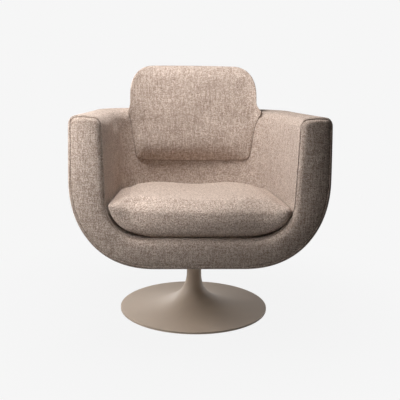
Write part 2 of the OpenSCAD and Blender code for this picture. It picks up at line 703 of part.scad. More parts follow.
// How far a point faces forwards, from 0 at the sides to 1 at the front
function forward(p) = let(t = min(1, max(0, -(p[1] - cushion_mid_y) / (tub_front + cushion_mid_y))))
  pow(t, forward_n);
function low_loop(i) =
  let(a = 90 * i / rise_steps, z = mix(cushion_foot, cushion_ear_h, 1 - cos(a)))
  [for (p = cushion_plan(z - cushion_gap, tub_front - foot_round * (1 - bow(sin(a), foot_n))))
    [p[0], p[1], z - front_dip * forward(p) * (1 - cos(a))]];
function top_loop(i) =
  let(a = 90 * i / crown_steps, s = bow(cos(a), cushion_crown_n), u = bow(sin(a), cushion_crown_n))
  [for (p = cushion_plan(cushion_ear_h - cushion_gap, tub_front))
    [p[0] * s, mix(cushion_mid_y, p[1], s),
     mix(cushion_ear_h - front_dip * forward(p), cushion_top_h, u)]];
module seat_cushion() color([0.76, 0.66, 0.58]) in_tub() pillow_solid(
  [0, cushion_mid_y, cushion_foot],
  concat([for (i = [0 : rise_steps]) low_loop(i)], [for (i = [1 : crown_steps - 1]) top_loop(i)]),
  [0, cushion_mid_y, cushion_top_h]);

base_trumpet();
ballast_plate();
floor_pad();
column_tube();
column_washer();
column_nut();
column_plug();
upper_bush();
lower_bush();
lower_race();
swivel_spindle();
retaining_clip();
spindle_washer();
ball_cage();
bearing_balls();
upper_race();
hub_plate();
plate_bolts();
plate_washers();
tee_nuts();
seat_board();
seat_rail_left();
seat_rail_right();
seat_webbing();
front_former();
rear_former();
waist_rail();
arm_posts();
arm_top_rail();
arm_top_pad();
headrest_panel();
headrest_body();
outer_wadding();
outer_cover();
inner_foam();
inner_lining();
front_border();
back_pad();
seat_cushion();
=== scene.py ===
"""Pedestal swivel armchair: cloth, padding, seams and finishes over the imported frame."""
import math
import bpy
import bmesh
import numpy as np
from mathutils import Matrix, Vector, noise


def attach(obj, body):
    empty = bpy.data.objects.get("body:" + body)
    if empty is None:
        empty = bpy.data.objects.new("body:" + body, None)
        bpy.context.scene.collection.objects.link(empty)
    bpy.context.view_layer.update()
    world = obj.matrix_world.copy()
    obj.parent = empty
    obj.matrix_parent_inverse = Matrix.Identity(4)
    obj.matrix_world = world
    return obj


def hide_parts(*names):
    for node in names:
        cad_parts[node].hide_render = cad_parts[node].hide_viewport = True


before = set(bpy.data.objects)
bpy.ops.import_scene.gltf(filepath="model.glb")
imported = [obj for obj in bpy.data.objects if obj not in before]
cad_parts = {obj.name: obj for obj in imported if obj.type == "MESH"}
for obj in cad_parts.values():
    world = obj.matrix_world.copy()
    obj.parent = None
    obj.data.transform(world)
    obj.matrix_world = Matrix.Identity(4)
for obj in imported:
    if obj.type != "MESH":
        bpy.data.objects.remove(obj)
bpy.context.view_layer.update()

bl_info = {
    "name": "Pedestal swivel armchair",
    "version": (1, 0, 0),
    "blender": (4, 5, 0),
    "location": "View3D > Sidebar > Armchair",
    "description": "Upholsters and finishes a tub armchair on a trumpet base",
    "category": "Object",
}

# Values of the tub as the chair's source has them: lengths in metres, shares, powers and steps
COVER_T, WADDING_T, FOAM_T, FIT = 0.003, 0.0084, 0.025, 0.0003
TOP_PAD_T = 0.0164
BORDER_D = 0.016
SIDE_SHARE, SIDE_TAPER = 0.6, 0.095
INNER_SIDE_SHARE, INNER_TAPER = 0.62, 0.07
FLOOR_BACK_SHARE, INNER_FLOOR_SHARE = 0.42, 0.55
CORNER_N, PLAN_N, INNER_PLAN_N = 2.25, 2.7, 2.4
SIDE_STEPS, TURN_STEPS = 4, 8
HALF_STEPS = SIDE_STEPS + TURN_STEPS
CORNER_STEPS, WALL_STEPS = 10, 3
LEVELS = CORNER_STEPS + WALL_STEPS
HOLE_EDGE = 0.008
CUSHION_GAP, CUSHION_MID_Y = 0.003, -0.080
TURN = math.pi / 2


def length(name, default, text):
    return bpy.props.FloatProperty(
        name=name, description=text, default=default, min=0, unit="LENGTH", precision=4)


def colour(name, default, text):
    return bpy.props.FloatVectorProperty(
        name=name, description=text, default=default, subtype="COLOR", size=3, min=0, max=1)


class ChairSizes(bpy.types.PropertyGroup):
    tub_w: length("Tub width", 0.764, "Overall width across the arms")
    tub_front: length("Front reach", 0.345, "Front face ahead of the swivel axis")
    tub_back: length("Rear reach", 0.372, "Rear of the tub behind the swivel axis")
    arm_h: length("Arm height", 0.447, "Arm height above the tub's underside")
    arm_t: length("Arm thickness", 0.094, "Thickness of an arm at its front")
    tub_lift: length("Lift", 0.219, "Underside of the tub above the floor")
    tub_lean: bpy.props.FloatProperty(
        name="Lean", description="Backward lean of the tub", default=math.radians(4.5),
        subtype="ANGLE")
    floor_half: length("Flat underside", 0.130, "Half width of the flat underside")
    corner_h: length("Lower corner", 0.269, "Height of the rounded lower corner")
    deck_h: length("Deck height", 0.090, "Seat deck above the underside")
    inner_corner_h: length("Inner corner", 0.130, "Height of the rounded corner inside")
    inner_draw: length("Inner draw", 0.009, "How much the inside narrows downwards")
    back_room: length("Back thickness", 0.204, "Inner back ahead of the outer back")
    back_rake: bpy.props.FloatProperty(
        name="Back rake", description="Backward rake of the inner back",
        default=math.radians(10), subtype="ANGLE")
    head_w: length("Headrest width", 0.436, "Width of the headrest")
    head_top: length("Headrest top", 0.6035, "Top of the headrest above the underside")
    pad_bottom: length("Pad foot", 0.278, "Lower edge of the back pad")
    pad_foot_half: length("Pad foot half width", 0.200, "Half width of the back pad's foot")
    pad_crown: length("Pad fullness", 0.042, "Fullness of the back pad")
    cushion_ear_h: length("Cushion seam", 0.187, "Height of the cushion's side corners")
    cushion_top_h: length("Cushion top", 0.200, "Highest part of the cushion")
    cushion_bulge: length("Cushion front", 0.020, "Bulge of the cushion's front")
    edge_r: length("Arm edge", 0.022, "Radius of the soft edges of the arms")
    side_bulge: length("Side fullness", 0.0022, "Bulge of the tub's sides at half height")
    front_crown: length("Front fullness", 0.007, "Fullness of the front panel")


class ChairFinish(bpy.types.PropertyGroup):
    cloth_light: colour("Light yarn", (0.72, 0.61, 0.535), "Pale yarn of the cloth")
    cloth_mid: colour("Mid yarn", (0.47, 0.37, 0.307), "Middle yarn of the cloth")
    cloth_dark: colour("Dark yarn", (0.245, 0.173, 0.135), "Dark yarn of the cloth")
    thread: colour("Seam thread", (0.20, 0.15, 0.12), "Thread of the seams")
    base_paint: colour("Base paint", (0.53, 0.42, 0.325), "Matt paint of the base")


def sizes():
    return bpy.context.scene.chair_sizes


def finish():
    return bpy.context.scene.chair_finish


# The tub's surfaces, as functions of a place round the plan (j) and a level (k)

def mix(a, b, t):
    return a + (b - a) * t


def share_of(part, whole):
    """How much of the whole a part takes up, kept from 0 to 1."""
    return np.clip(part / whole, 0, 1)


def bow(v, n):
    """A sine or cosine v, bowed out for a squarer curve of power n."""
    return np.sign(v) * np.abs(v) ** (2.0 / n)


def plan(j, side, taper, n):
    """Shares of the half width and of the depth at step j: a straight side, then the turn of the back."""
    j = np.asarray(j, float)
    turn = share_of(j - SIDE_STEPS, TURN_STEPS) * TURN
    straight = j <= SIDE_STEPS
    x = np.where(straight, 1 - taper * j / SIDE_STEPS, (1 - taper) * bow(np.cos(turn), n))
    y = np.where(straight, side * j / SIDE_STEPS, side + (1 - side) * bow(np.sin(turn), n))
    return x, y


def rise(k):
    """Share of the lower corner's height at level k."""
    return 1 - bow(math.cos(TURN * k / CORNER_STEPS), CORNER_N) if k < CORNER_STEPS else 1.0


def spread(k):
    """Share of the full width at level k."""
    return bow(math.sin(TURN * k / CORNER_STEPS), CORNER_N) if k < CORNER_STEPS else 1.0


def wall(k):
    """Share of the upright wall's height at level k."""
    return max(0.0, (k - CORNER_STEPS) / WALL_STEPS)


def outer_pt(s, j, k, drop, inset):
    """Outside of the tub at steps j and level k, its top lower by drop and its front back by inset."""
    px, py = plan(j, SIDE_SHARE, SIDE_TAPER, PLAN_N)
    x = mix(s.floor_half, s.tub_w / 2, spread(k)) * px
    y = mix(inset - s.tub_front, mix(FLOOR_BACK_SHARE, 1, spread(k)) * s.tub_back, py)
    z = np.full_like(x, mix(s.corner_h * rise(k), s.arm_h - drop, wall(k)))
    full = np.sin(math.pi * share_of(z - s.deck_h, s.arm_h - s.deck_h))
    return np.stack([x * (1 + s.side_bulge / (s.tub_w / 2) * full), y, z], -1)


def inner_wall_y(s, z):
    """How far back the inner back lies at height z."""
    return s.tub_back - s.back_room + (z - s.deck_h) * math.tan(s.back_rake)


def inner_half(s):
    return s.tub_w / 2 - s.arm_t


def inner_pt(s, j, k, drop, inset):
    """Inside of the tub at steps j and level k, given in the same way."""
    px, py = plan(j, INNER_SIDE_SHARE, INNER_TAPER, INNER_PLAN_N)
    z = mix(s.deck_h + s.inner_corner_h * rise(k), s.arm_h - drop, wall(k))
    narrow = mix(INNER_FLOOR_SHARE, 1, spread(k))
    half = mix(narrow * (inner_half(s) - s.inner_draw), inner_half(s), wall(k))
    y = mix(inset - s.tub_front, narrow * inner_wall_y(s, z), py)
    return np.stack([half * px, y, np.full_like(y, z)], -1)


def wall_pt(s, j, k, depth, inside, drop, inset):
    """Places within the wall, at a depth from its inside or from its outside."""
    a, b = outer_pt(s, j, k, drop, inset), inner_pt(s, j, k, drop, inset)
    if k == 0:
        through = (b - a)[:, 2:3]
    else:
        through = np.linalg.norm(b - a, axis=1, keepdims=True)
    return b + (a - b) * depth / through if inside else a + (b - a) * depth / through


def distances(points):
    """How far along its line each point lies."""
    return np.concatenate([[0], np.cumsum(np.linalg.norm(np.diff(points, axis=0), axis=1))])


def even(values, points, count):
    """Values taken at even steps along the line of points."""
    d = distances(points)
    return np.interp(np.linspace(0, d[-1], count), d, values)


def half_columns(s, count):
    """Steps round half of the plan, evenly spaced along the arm tops."""
    fine = np.linspace(0, HALF_STEPS, 600)
    line = (outer_pt(s, fine, LEVELS, 0, BORDER_D) + inner_pt(s, fine, LEVELS, 0, BORDER_D)) / 2
    return even(fine, line, count)


def corner_levels(s, count):
    """Levels of the lower corner, evenly spaced along its curve."""
    fine = np.linspace(0, CORNER_STEPS, 400)
    line = np.array([outer_pt(s, np.array([0.0]), k, 0, 0)[0] for k in fine])
    return even(fine, line, count)


def both_sides(half):
    """The left side added to a row that runs from the front to the middle of the back."""
    left = half * np.array([-1, 1, 1])
    left[-1, 0] = 0
    return np.concatenate([left, half[-2::-1]])


def seated(points):
    """From the tub's own frame, which leans back, to the chair's."""
    s = sizes()
    c, n = math.cos(s.tub_lean), math.sin(s.tub_lean)
    p = np.asarray(points, float)
    out = p.copy()
    out[..., 1] = p[..., 1] * c + p[..., 2] * n
    out[..., 2] = s.tub_lift + p[..., 2] * c - p[..., 1] * n
    return out


# Mesh building

WELD = 0.000005


class Skin:
    """Points and faces gathered from grids and tubes."""

    def __init__(self):
        self.points, self.faces, self.count = [], [], 0

    def add(self, points):
        points = np.asarray(points, float).reshape(-1, 3)
        self.points.append(points)
        self.count += len(points)
        return np.arange(self.count - len(points), self.count)

    def grid(self, rows, wrap=False):
        """Faces between rows of points, given as arrays or as index arrays."""
        ids = [r if np.issubdtype(np.asarray(r).dtype, np.integer) else self.add(r) for r in rows]
        for a, b in zip(ids[:-1], ids[1:]):
            n = len(a)
            for i in range(n if wrap else n - 1):
                j = (i + 1) % n
                face = [a[i], a[j], b[j], b[i]]
                face = [v for q, v in enumerate(face) if v not in face[:q]]
                if len(face) > 2:
                    self.faces.append(face)
        return ids

    def closed(self, rows):
        """Rings joined into one skin, with both ends shut."""
        ids = self.grid(rows, wrap=True)
        self.faces += [list(ids[0][::-1]), list(ids[-1])]

    def tube(self, line, radius, sides):
        line = np.asarray(line, float)
        tangent = np.gradient(line, axis=0)
        tangent /= np.linalg.norm(tangent, axis=1, keepdims=True) + 1e-12
        up = np.array([0, -1.0, 0])
        a = np.cross(tangent, up)
        a /= np.linalg.norm(a, axis=1, keepdims=True) + 1e-12
        b = np.cross(a, tangent)
        turn = np.linspace(0, 2 * math.pi, sides, endpoint=False)
        self.closed([p + radius * (np.outer(np.cos(turn), u) + np.outer(np.sin(turn), v))
                     for p, u, v in zip(line, a, b)])

    def piece(self, name, weld=0.0):
        data = bpy.data.meshes.new(name)
        points = np.concatenate(self.points)
        data.from_pydata(points.tolist(), [], [[int(v) for v in f] for f in self.faces])
        made = bpy.data.objects.new(name, data)
        bpy.context.scene.collection.objects.link(made)
        work = bmesh.new()
        work.from_mesh(data)
        if weld:
            bmesh.ops.remove_doubles(work, verts=work.verts, dist=weld)
        bmesh.ops.recalc_face_normals(work, faces=work.faces)
        work.to_mesh(data)
        work.free()
        data.shade_smooth()
        return made


def closed_piece(name, rows):
    """A piece from rings in the tub's own frame, shut at both ends."""
    skin = Skin()
    skin.closed([seated(r) for r in rows])
    return skin.piece(name, weld=WELD)


def smooth_rows(grid, passes):
    """Evens out each row of a grid between its ends, for a soft turn where two curves meet."""
    g = grid.copy()
    for _ in range(passes):
        g[:, 1:-1] = 0.5 * g[:, 1:-1] + 0.25 * (g[:, :-2] + g[:, 2:])
    return g


def unevenness(points, size, height, seed):
    """Small waves of stretched cloth at each point, as heights."""
    flat = np.asarray(points).reshape(-1, 3)
    return np.array([noise.noise(Vector(p) / size + Vector((seed, 2 * seed, 0))) * height
                     for p in flat]).reshape(np.asarray(points).shape[:-1])


SWELL_VOXEL, SWELL_CAP = 0.006, 0.012
SWELL_FRAMES, SWELL_PRESSURE = 20, 4
SWELL_STRETCH, SWELL_BEND = 15, 0.6


def puffed(obj, voxel, cap, free):
    """Swells a closed piece as filled cloth and keeps the result in its mesh. No point moves
    further than cap, and free gives each point's share of the swelling."""
    view = bpy.context.view_layer
    bpy.ops.object.select_all(action="DESELECT")
    view.objects.active = obj
    obj.select_set(True)
    mesh = obj.modifiers.new("even", "REMESH")
    mesh.mode, mesh.voxel_size = "VOXEL", voxel
    bpy.ops.object.modifier_apply(modifier="even")
    count = len(obj.data.vertices)
    rest = np.empty(count * 3)
    obj.data.vertices.foreach_get("co", rest)
    rest = rest.reshape(-1, 3)
    made = obj.modifiers.new("swell", "CLOTH")
    s = made.settings
    s.quality, s.mass, s.air_damping = 6, 0.3, 1.0
    s.tension_stiffness = s.compression_stiffness = SWELL_STRETCH
    s.bending_stiffness = SWELL_BEND
    s.use_pressure = True
    s.uniform_pressure_force = SWELL_PRESSURE
    s.effector_weights.gravity = 0
    made.collision_settings.use_collision = False
    scene = bpy.context.scene
    for step in range(1, SWELL_FRAMES + 1):
        scene.frame_set(step)
    graph = bpy.context.evaluated_depsgraph_get()
    moved = np.empty(count * 3)
    obj.evaluated_get(graph).data.vertices.foreach_get("co", moved)
    moved = moved.reshape(-1, 3) - rest
    obj.modifiers.remove(made)
    scene.frame_set(1)
    moved -= moved.mean(0)
    far = np.linalg.norm(moved, axis=1, keepdims=True) + 1e-9
    moved *= cap * np.tanh(far / cap) / far
    rest += moved * free(rest)[:, None]
    obj.data.vertices.foreach_set("co", rest.ravel())
    finer = obj.modifiers.new("finer", "SUBSURF")
    finer.levels = 1
    bpy.ops.object.modifier_apply(modifier="finer")
    obj.data.shade_smooth()


# Materials

def new_material(name):
    made = bpy.data.materials.new(name)
    made.use_nodes = True
    made.node_tree.nodes.clear()
    return made


class Nodes:
    """A short way to lay out the nodes of a material or a world."""

    def __init__(self, owner):
        self.tree = owner.node_tree

    def add(self, kind, links=(), **values):
        node = self.tree.nodes.new(kind)
        for key, value in values.items():
            if hasattr(node, key):
                setattr(node, key, value)
            else:
                node.inputs[key.replace("_", " ")].default_value = value
        for socket, source in dict(links).items():
            self.tree.links.new(source, node.inputs[socket])
        return node

    def math(self, how, a, b, clamp=False):
        node = self.tree.nodes.new("ShaderNodeMath")
        node.operation = how
        node.use_clamp = clamp
        for i, v in enumerate([a, b]):
            if isinstance(v, (int, float)):
                node.inputs[i].default_value = v
            else:
                self.tree.links.new(v, node.inputs[i])
        return node.outputs[0]

    def ramp(self, source, stops):
        node = self.tree.nodes.new("ShaderNodeValToRGB")
        marks = node.color_ramp.elements
        while len(marks) < len(stops):
            marks.new(0.5)
        for mark, (at, shade) in zip(marks, stops):
            mark.position = at
            mark.color = (*shade, 1)
        self.tree.links.new(source, node.inputs[0])
        return node.outputs[0]

    def stretched(self, scale):
        """The object's own coordinates, scaled along each axis."""
        place = self.add("ShaderNodeTexCoord").outputs["Object"]
        node = self.add("ShaderNodeMapping", {"Vector": place})
        node.inputs["Scale"].default_value = scale
        return node.outputs[0]

    def multiplied(self, factor, a, b):
        """Shade a, times shade b in the share given by factor."""
        node = self.tree.nodes.new("ShaderNodeMix")
        node.data_type, node.blend_type = "RGBA", "MULTIPLY"
        node.inputs[0].default_value = factor
        self.tree.links.new(a, node.inputs[6])
        self.tree.links.new(b, node.inputs[7])
        return node.outputs[2]

    def seen_rays(self):
        """1 for rays that show the ground or the sky to the camera, 0 for rays that carry light."""
        ray = self.add("ShaderNodeLightPath")
        seen = self.math("ADD", ray.outputs["Is Camera Ray"], ray.outputs["Is Glossy Ray"], clamp=True)
        return self.math("ADD", seen, ray.outputs["Is Transmission Ray"], clamp=True)

    def glow(self, kind, strength):
        """An even white emission or background."""
        node = self.add(kind, Strength=strength)
        node.inputs["Color"].default_value = (1, 1, 1, 1)
        return node.outputs[0]


def shader(nodes, **values):
    """The material's surface, from numbers, colours and sockets named as its inputs."""
    node = nodes.add("ShaderNodeBsdfPrincipled")
    for key, value in values.items():
        name = key.replace("_", " ")
        if hasattr(value, "is_output"):
            nodes.tree.links.new(value, node.inputs[name])
        else:
            node.inputs[name].default_value = value
    out = nodes.add("ShaderNodeOutputMaterial")
    nodes.tree.links.new(node.outputs[0], out.inputs[0])
    return node


# Yarns of the cloth, in cells to the metre, and what each gives to the shade and the height
YARN_CELLS = {"nub": 600, "warp": 560, "weft": 600}
SHADE_SHARES = {"nub": 0.52, "warp": 0.21, "weft": 0.17}
ROUND_SHARES = {"nub": 1.0, "warp": 0.6, "weft": 0.5}
STEP_SHARES = {"nub": 0.35, "warp": 0.2, "weft": 0.2}
PATCH_CELLS, PATCH_SHARE = 34, 0.03
TONE_STOPS = (0.22, 0.5, 0.78)
WEAVE_H, WEAVE_STRENGTH = 0.0011, 0.62


def woven_cloth(name, along, across, pale):
    """Coarse melange cloth: long warp threads, a thinner weft and nubs, each yarn its own shade."""
    f = finish()
    made = new_material(name)
    n = Nodes(made)
    patch = n.add("ShaderNodeTexNoise", {"Vector": n.stretched((1, 1, 0.6))}, Scale=PATCH_CELLS,
                  Detail=3)
    level = n.math("MULTIPLY", patch.outputs[0], PATCH_SHARE)
    high = None
    for yarn, stretch in (("nub", (1, 1, 1)), ("warp", along), ("weft", across)):
        cells = n.add("ShaderNodeTexVoronoi", {"Vector": n.stretched(stretch)},
                      Scale=YARN_CELLS[yarn])
        own = n.add("ShaderNodeSeparateColor", {"Color": cells.outputs["Color"]}).outputs[0]
        round_top = n.math("SUBTRACT", 0.8, cells.outputs["Distance"])
        level = n.math("ADD", level, n.math("MULTIPLY", own, SHADE_SHARES[yarn]))
        for part, share in ((round_top, ROUND_SHARES[yarn]), (own, STEP_SHARES[yarn])):
            part = n.math("MULTIPLY", part, share)
            high = part if high is None else n.math("ADD", high, part)
    # pale lightens every yarn; for the seat's cut this is painted light on the cushion
    tones = [tuple(v * pale for v in tone) for tone in (f.cloth_dark, f.cloth_mid, f.cloth_light)]
    tint = n.ramp(level, list(zip(TONE_STOPS, tones)))
    bump = n.add("ShaderNodeBump", {"Height": high}, Strength=WEAVE_STRENGTH, Distance=WEAVE_H)
    node = shader(n, Base_Color=tint, Roughness=0.95, Normal=bump.outputs[0])
    node.inputs["Specular IOR Level"].default_value = 0.15
    node.inputs["Sheen Weight"].default_value = 0.15
    node.inputs["Sheen Roughness"].default_value = 0.6
    node.inputs["Sheen Tint"].default_value = (0.95, 0.86, 0.80, 1)
    return made


def seam_thread():
    """Twisted sewing thread, darker than the cloth."""
    made = new_material("seam_thread")
    n = Nodes(made)
    twist = n.add("ShaderNodeTexWave", {"Vector": n.stretched((1, 1, 1))}, Scale=900, Distortion=1.0)
    c = finish().thread
    tint = n.ramp(twist.outputs["Fac"], [(0.2, tuple(v * 0.7 for v in c)),
                                         (0.8, tuple(v * 1.25 for v in c))])
    shader(n, Base_Color=tint, Roughness=0.7)
    return made


def painted(name, shade, roughness):
    """Powder coat: an even colour with fine orange peel and faint handling marks."""
    made = new_material(name)
    n = Nodes(made)
    peel = n.add("ShaderNodeTexNoise", {"Vector": n.stretched((1, 1, 1))}, Scale=900, Detail=2)
    marks = n.add("ShaderNodeTexNoise", {"Vector": n.stretched((1, 1, 1))}, Scale=18, Detail=5,
                  Roughness=0.6)
    tint = n.ramp(marks.outputs[0], [(0.3, tuple(v * 0.95 for v in shade)), (0.7, tuple(shade))])
    rough = n.add("ShaderNodeMapRange", {"Value": marks.outputs[0]})
    rough.inputs["To Min"].default_value = roughness - 0.05
    rough.inputs["To Max"].default_value = roughness + 0.06
    bump = n.add("ShaderNodeBump", {"Height": peel.outputs[0]}, Strength=0.25, Distance=0.0003)
    shader(n, Base_Color=tint, Roughness=rough.outputs[0], Normal=bump.outputs[0])
    return made


def metal(name, shade, roughness, brushed=True):
    """Bare or plated metal, turned or brushed lines round it, or an even fine grain."""
    made = new_material(name)
    n = Nodes(made)
    lines = n.add("ShaderNodeTexNoise",
                  {"Vector": n.stretched((1, 1, 14) if brushed else (1, 1, 1))}, Scale=300, Detail=3)
    tint = n.ramp(lines.outputs[0], [(0.3, tuple(v * 0.86 for v in shade)), (0.7, shade)])
    rough = n.add("ShaderNodeMapRange", {"Value": lines.outputs[0]})
    rough.inputs["To Min"].default_value = max(0.05, roughness - 0.08)
    rough.inputs["To Max"].default_value = roughness + 0.08
    bump = n.add("ShaderNodeBump", {"Height": lines.outputs[0]}, Strength=0.12, Distance=0.0002)
    shader(n, Base_Color=tint, Roughness=rough.outputs[0], Normal=bump.outputs[0], Metallic=1.0)
    return made


def plain(name, low, high, scale, roughness, stretch=(1, 1, 1), bump_h=0.0004):
    """Rubber, moulded plastic, cut foam, wadding and cast iron: two tones and a grain."""
    made = new_material(name)
    n = Nodes(made)
    grain = n.add("ShaderNodeTexNoise", {"Vector": n.stretched(stretch)}, Scale=scale, Detail=4,
                  Roughness=0.6)
    tint = n.ramp(grain.outputs[0], [(0.35, low), (0.65, high)])
    bump = n.add("ShaderNodeBump", {"Height": grain.outputs[0]}, Strength=0.3, Distance=bump_h)
    shader(n, Base_Color=tint, Roughness=roughness, Normal=bump.outputs[0])
    return made


def timber(name):
    """Ply and solid beech: long figure with fine dark pores."""
    made = new_material(name)
    n = Nodes(made)
    wave = n.add("ShaderNodeTexWave", {"Vector": n.stretched((0.25, 1, 1))}, Scale=38, Distortion=5.0,
                 Detail=3)
    pores = n.add("ShaderNodeTexNoise", {"Vector": n.stretched((0.05, 1, 1))}, Scale=420, Detail=2)
    tint = n.ramp(wave.outputs["Fac"], [(0.1, (0.46, 0.30, 0.165)), (0.9, (0.62, 0.44, 0.26))])
    dark = n.ramp(pores.outputs[0], [(0.35, (0.45, 0.32, 0.2)), (0.6, (1, 1, 1))])
    tint = n.multiplied(0.25, tint, dark)
    bump = n.add("ShaderNodeBump", {"Height": pores.outputs[0]}, Strength=0.25, Distance=0.0003)
    shader(n, Base_Color=tint, Roughness=0.62, Normal=bump.outputs[0])
    return made


def paint_node(name, material):
    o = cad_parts[name]
    o.data.materials.clear()
    o.data.materials.append(material)


def dressed(obj, material, body):
    obj.data.materials.clear()
    obj.data.materials.append(material)
    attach(obj, body)
    return obj


# How each cut of the cloth stretches the cells of its warp and weft, and how much paler it is
# The seat's paler cut is painted light: it stands in for the brighter light on the cushion's top
CUTS = {"tub": ((1, 1, 0.06), (0.12, 0.12, 1), 1.0),
        "back": ((1, 0.2, 0.06), (0.12, 0.3, 1), 1.0),
        "seat": ((1, 1, 0.3), (0.35, 1, 1), 1.17)}
cloths = {}


def cloth(cut="tub"):
    """The cloth, with its threads laid for an upright wall, a leaning back or a flat seat."""
    if cut not in cloths:
        cloths[cut] = woven_cloth("melange_cloth_" + cut, *CUTS[cut])
    return cloths[cut]


# The wrapped cover and its front edge

MARGIN = 0.014
COLUMNS, CORNER_ROWS, WALL_ROWS, CROSS_POINTS = 84, 34, 11, 27
INNER_RIM, INNER_RIM_BACK, RIM_SHARE = 0.026, 0.036, 0.3
TOP_CROWN, OUTER_RISE = 0.0015, 0.004
TOP_OUTER_ROWS, TOP_MID_ROWS, TOP_INNER_ROWS = 8, 10, 9
COVER_PASSES = 4
HEM_SHARE, HEM_LIFT, HEM_ROWS = 0.985, 0.002, 7
# The soft upright crease inside each arm: its depth, width and reach, and where it fades out
CREASE, CREASE_W, CREASE_REACH, CREASE_ENDS = 0.012, 0.013, 0.055, 0.05
CREASE_FOOT, CREASE_RISE, CREASE_TOP, CREASE_FALL = 0.20, 0.05, 0.004, 0.03


def levels_up(s):
    """Levels from the underside to the arm tops."""
    walls = np.linspace(CORNER_STEPS, LEVELS, WALL_ROWS)[1:]
    return np.concatenate([corner_levels(s, CORNER_ROWS), walls])


def arm_top_rows(a, b, rim_out, rim_in):
    """Rows over the arm top, from the outer points a to the inner points b."""
    run = b - a
    run[:, 2] = 0
    wide = np.linalg.norm(run, axis=1, keepdims=True)
    run = run / wide
    up = np.array([0, 0, 1.0])
    out = lambda t: a + run * rim_out * (1 - math.cos(t)) + up * (rim_out + OUTER_RISE) * math.sin(t)
    inn = lambda t: b - run * rim_in * (1 - math.cos(t)) + up * rim_in * math.sin(t)
    rows = [out(t) for t in np.linspace(0, TURN, TOP_OUTER_ROWS)[1:]]
    first, last = out(TURN), inn(TURN)
    for t in np.linspace(0, 1, TOP_MID_ROWS)[1:-1]:
        rows.append(mix(first, last, t) + up * TOP_CROWN * math.sin(math.pi * t))
    return rows + [inn(t) for t in np.linspace(TURN, 0, TOP_INNER_ROWS)[:-1]]


def cover_rows(s):
    """The cover from the underside over the arm tops to the deck, in rows round the tub."""
    ks, js = levels_up(s), half_columns(s, COLUMNS)
    outside = [both_sides(outer_pt(s, js, k, s.edge_r, MARGIN)) for k in ks]
    inside = [both_sides(inner_pt(s, js, k, INNER_RIM_BACK, MARGIN)) for k in ks[::-1]]
    depth = (outside[-1][:, 1] + s.tub_front) / (s.tub_front + s.tub_back)
    rim = mix(INNER_RIM, INNER_RIM_BACK, share_of(depth, RIM_SHARE))[:, None]
    inside[0][:, 2] = s.arm_h - rim[:, 0]
    top = arm_top_rows(outside[-1], inside[0], s.edge_r, rim)
    rows = smooth_rows(np.array(outside + top + inside), COVER_PASSES)
    start = len(ks) + len(top)
    for i in range(len(ks)):
        rows[start + i] += panel_fullness(s, rows[start + i], js)
    return rows, len(ks), len(top)


def panel_fullness(s, row, js):
    """How far the inside stands forward of its pattern, which leaves a soft upright crease."""
    half = len(js)
    at = np.argmin(np.abs(js - SIDE_STEPS))
    d = distances(row[:half])
    off = np.abs(d - d[at])
    away = (1 - np.exp(-off / CREASE_W)) * np.exp(-(off / CREASE_REACH) ** 2)
    ends = share_of(d, CREASE_ENDS)
    z = row[half // 2, 2]
    level = share_of(z - CREASE_FOOT, CREASE_RISE)
    level *= share_of(s.arm_h - INNER_RIM_BACK + CREASE_TOP - z, CREASE_FALL)
    run = np.gradient(row[:half], axis=0)
    run /= np.linalg.norm(run, axis=1, keepdims=True)
    way = np.stack([run[:, 1], -run[:, 0], 0 * d], 1)
    push = way * (CREASE * away * ends * level)[:, None]
    return np.concatenate([push, push[-2::-1] * np.array([-1, 1, 1])])


def front_loop(s):
    """The closed line of the tub's front section as (x, z): up the inside of the left arm, over it,
    down its outside, along the underside, up the right arm and back along the deck."""
    rows, n_level, n_top = cover_rows(s)
    left = rows[::-1, 0][:, [0, 2]]
    right = rows[:, -1][:, [0, 2]]
    under = np.linspace(left[-1], right[0], CROSS_POINTS)[1:-1]
    deck = np.linspace(right[-1], left[0], CROSS_POINTS)[1:-1]
    loop = np.concatenate([left, under, right, deck])
    kind = np.concatenate([
        np.zeros(n_level), np.linspace(0, 1, n_top), np.ones(n_level), np.ones(len(under)),
        np.ones(n_level), np.linspace(1, 0, n_top), np.zeros(n_level), np.zeros(len(deck))])
    return loop, kind, (n_level, n_top, len(under))


def round_smooth(v, passes):
    """Evens out values round a closed loop."""
    v = np.array(v, float)
    for _ in range(passes):
        v = 0.5 * v + 0.25 * (np.roll(v, 1, 0) + np.roll(v, -1, 0))
    return v


# The seam round the front panel: how far in from the cover it runs and how far back it lies
SEAM_IN_OUTER, SEAM_IN_LOW, SEAM_IN_TOP, SEAM_IN_INNER = 0.0062, 0.0032, 0.0050, 0.0010
SEAM_BACK_INNER, SEAM_BACK_HALF, SEAM_VALLEY = 0.0090, 0.0045, 0.0018
SEAM_KIND_FROM, SEAM_KIND_RUN, SEAM_PASSES = 0.12, 0.76, 6
SEAM_TURN_STEPS, SEAM_LIP, SEAM_ENDS = 7, 0.0012, 3
# How far the front panel's edges turn in, its rows up to an arm top, and its fullness
PANEL_TURN_OUTER, PANEL_TURN_INNER, PANEL_TOP_ROWS = 0.0055, 0.017, 8
PANEL_FULL_N, PANEL_WAVE, PANEL_WAVE_H = 0.8, 0.05, 0.0016
# The welt in the seam and the two rows of stitches beside it
WELT_OUT, WELT_AHEAD, WELT_R = 0.0022, 0.0014, 0.0010
STITCH_OUT, STITCH_IN, STITCH_AHEAD = 0.0052, 0.0034, 0.0012
STITCH_PITCH, STITCH_LONG, STITCH_THICK = 0.0062, 0.0046, 0.0008


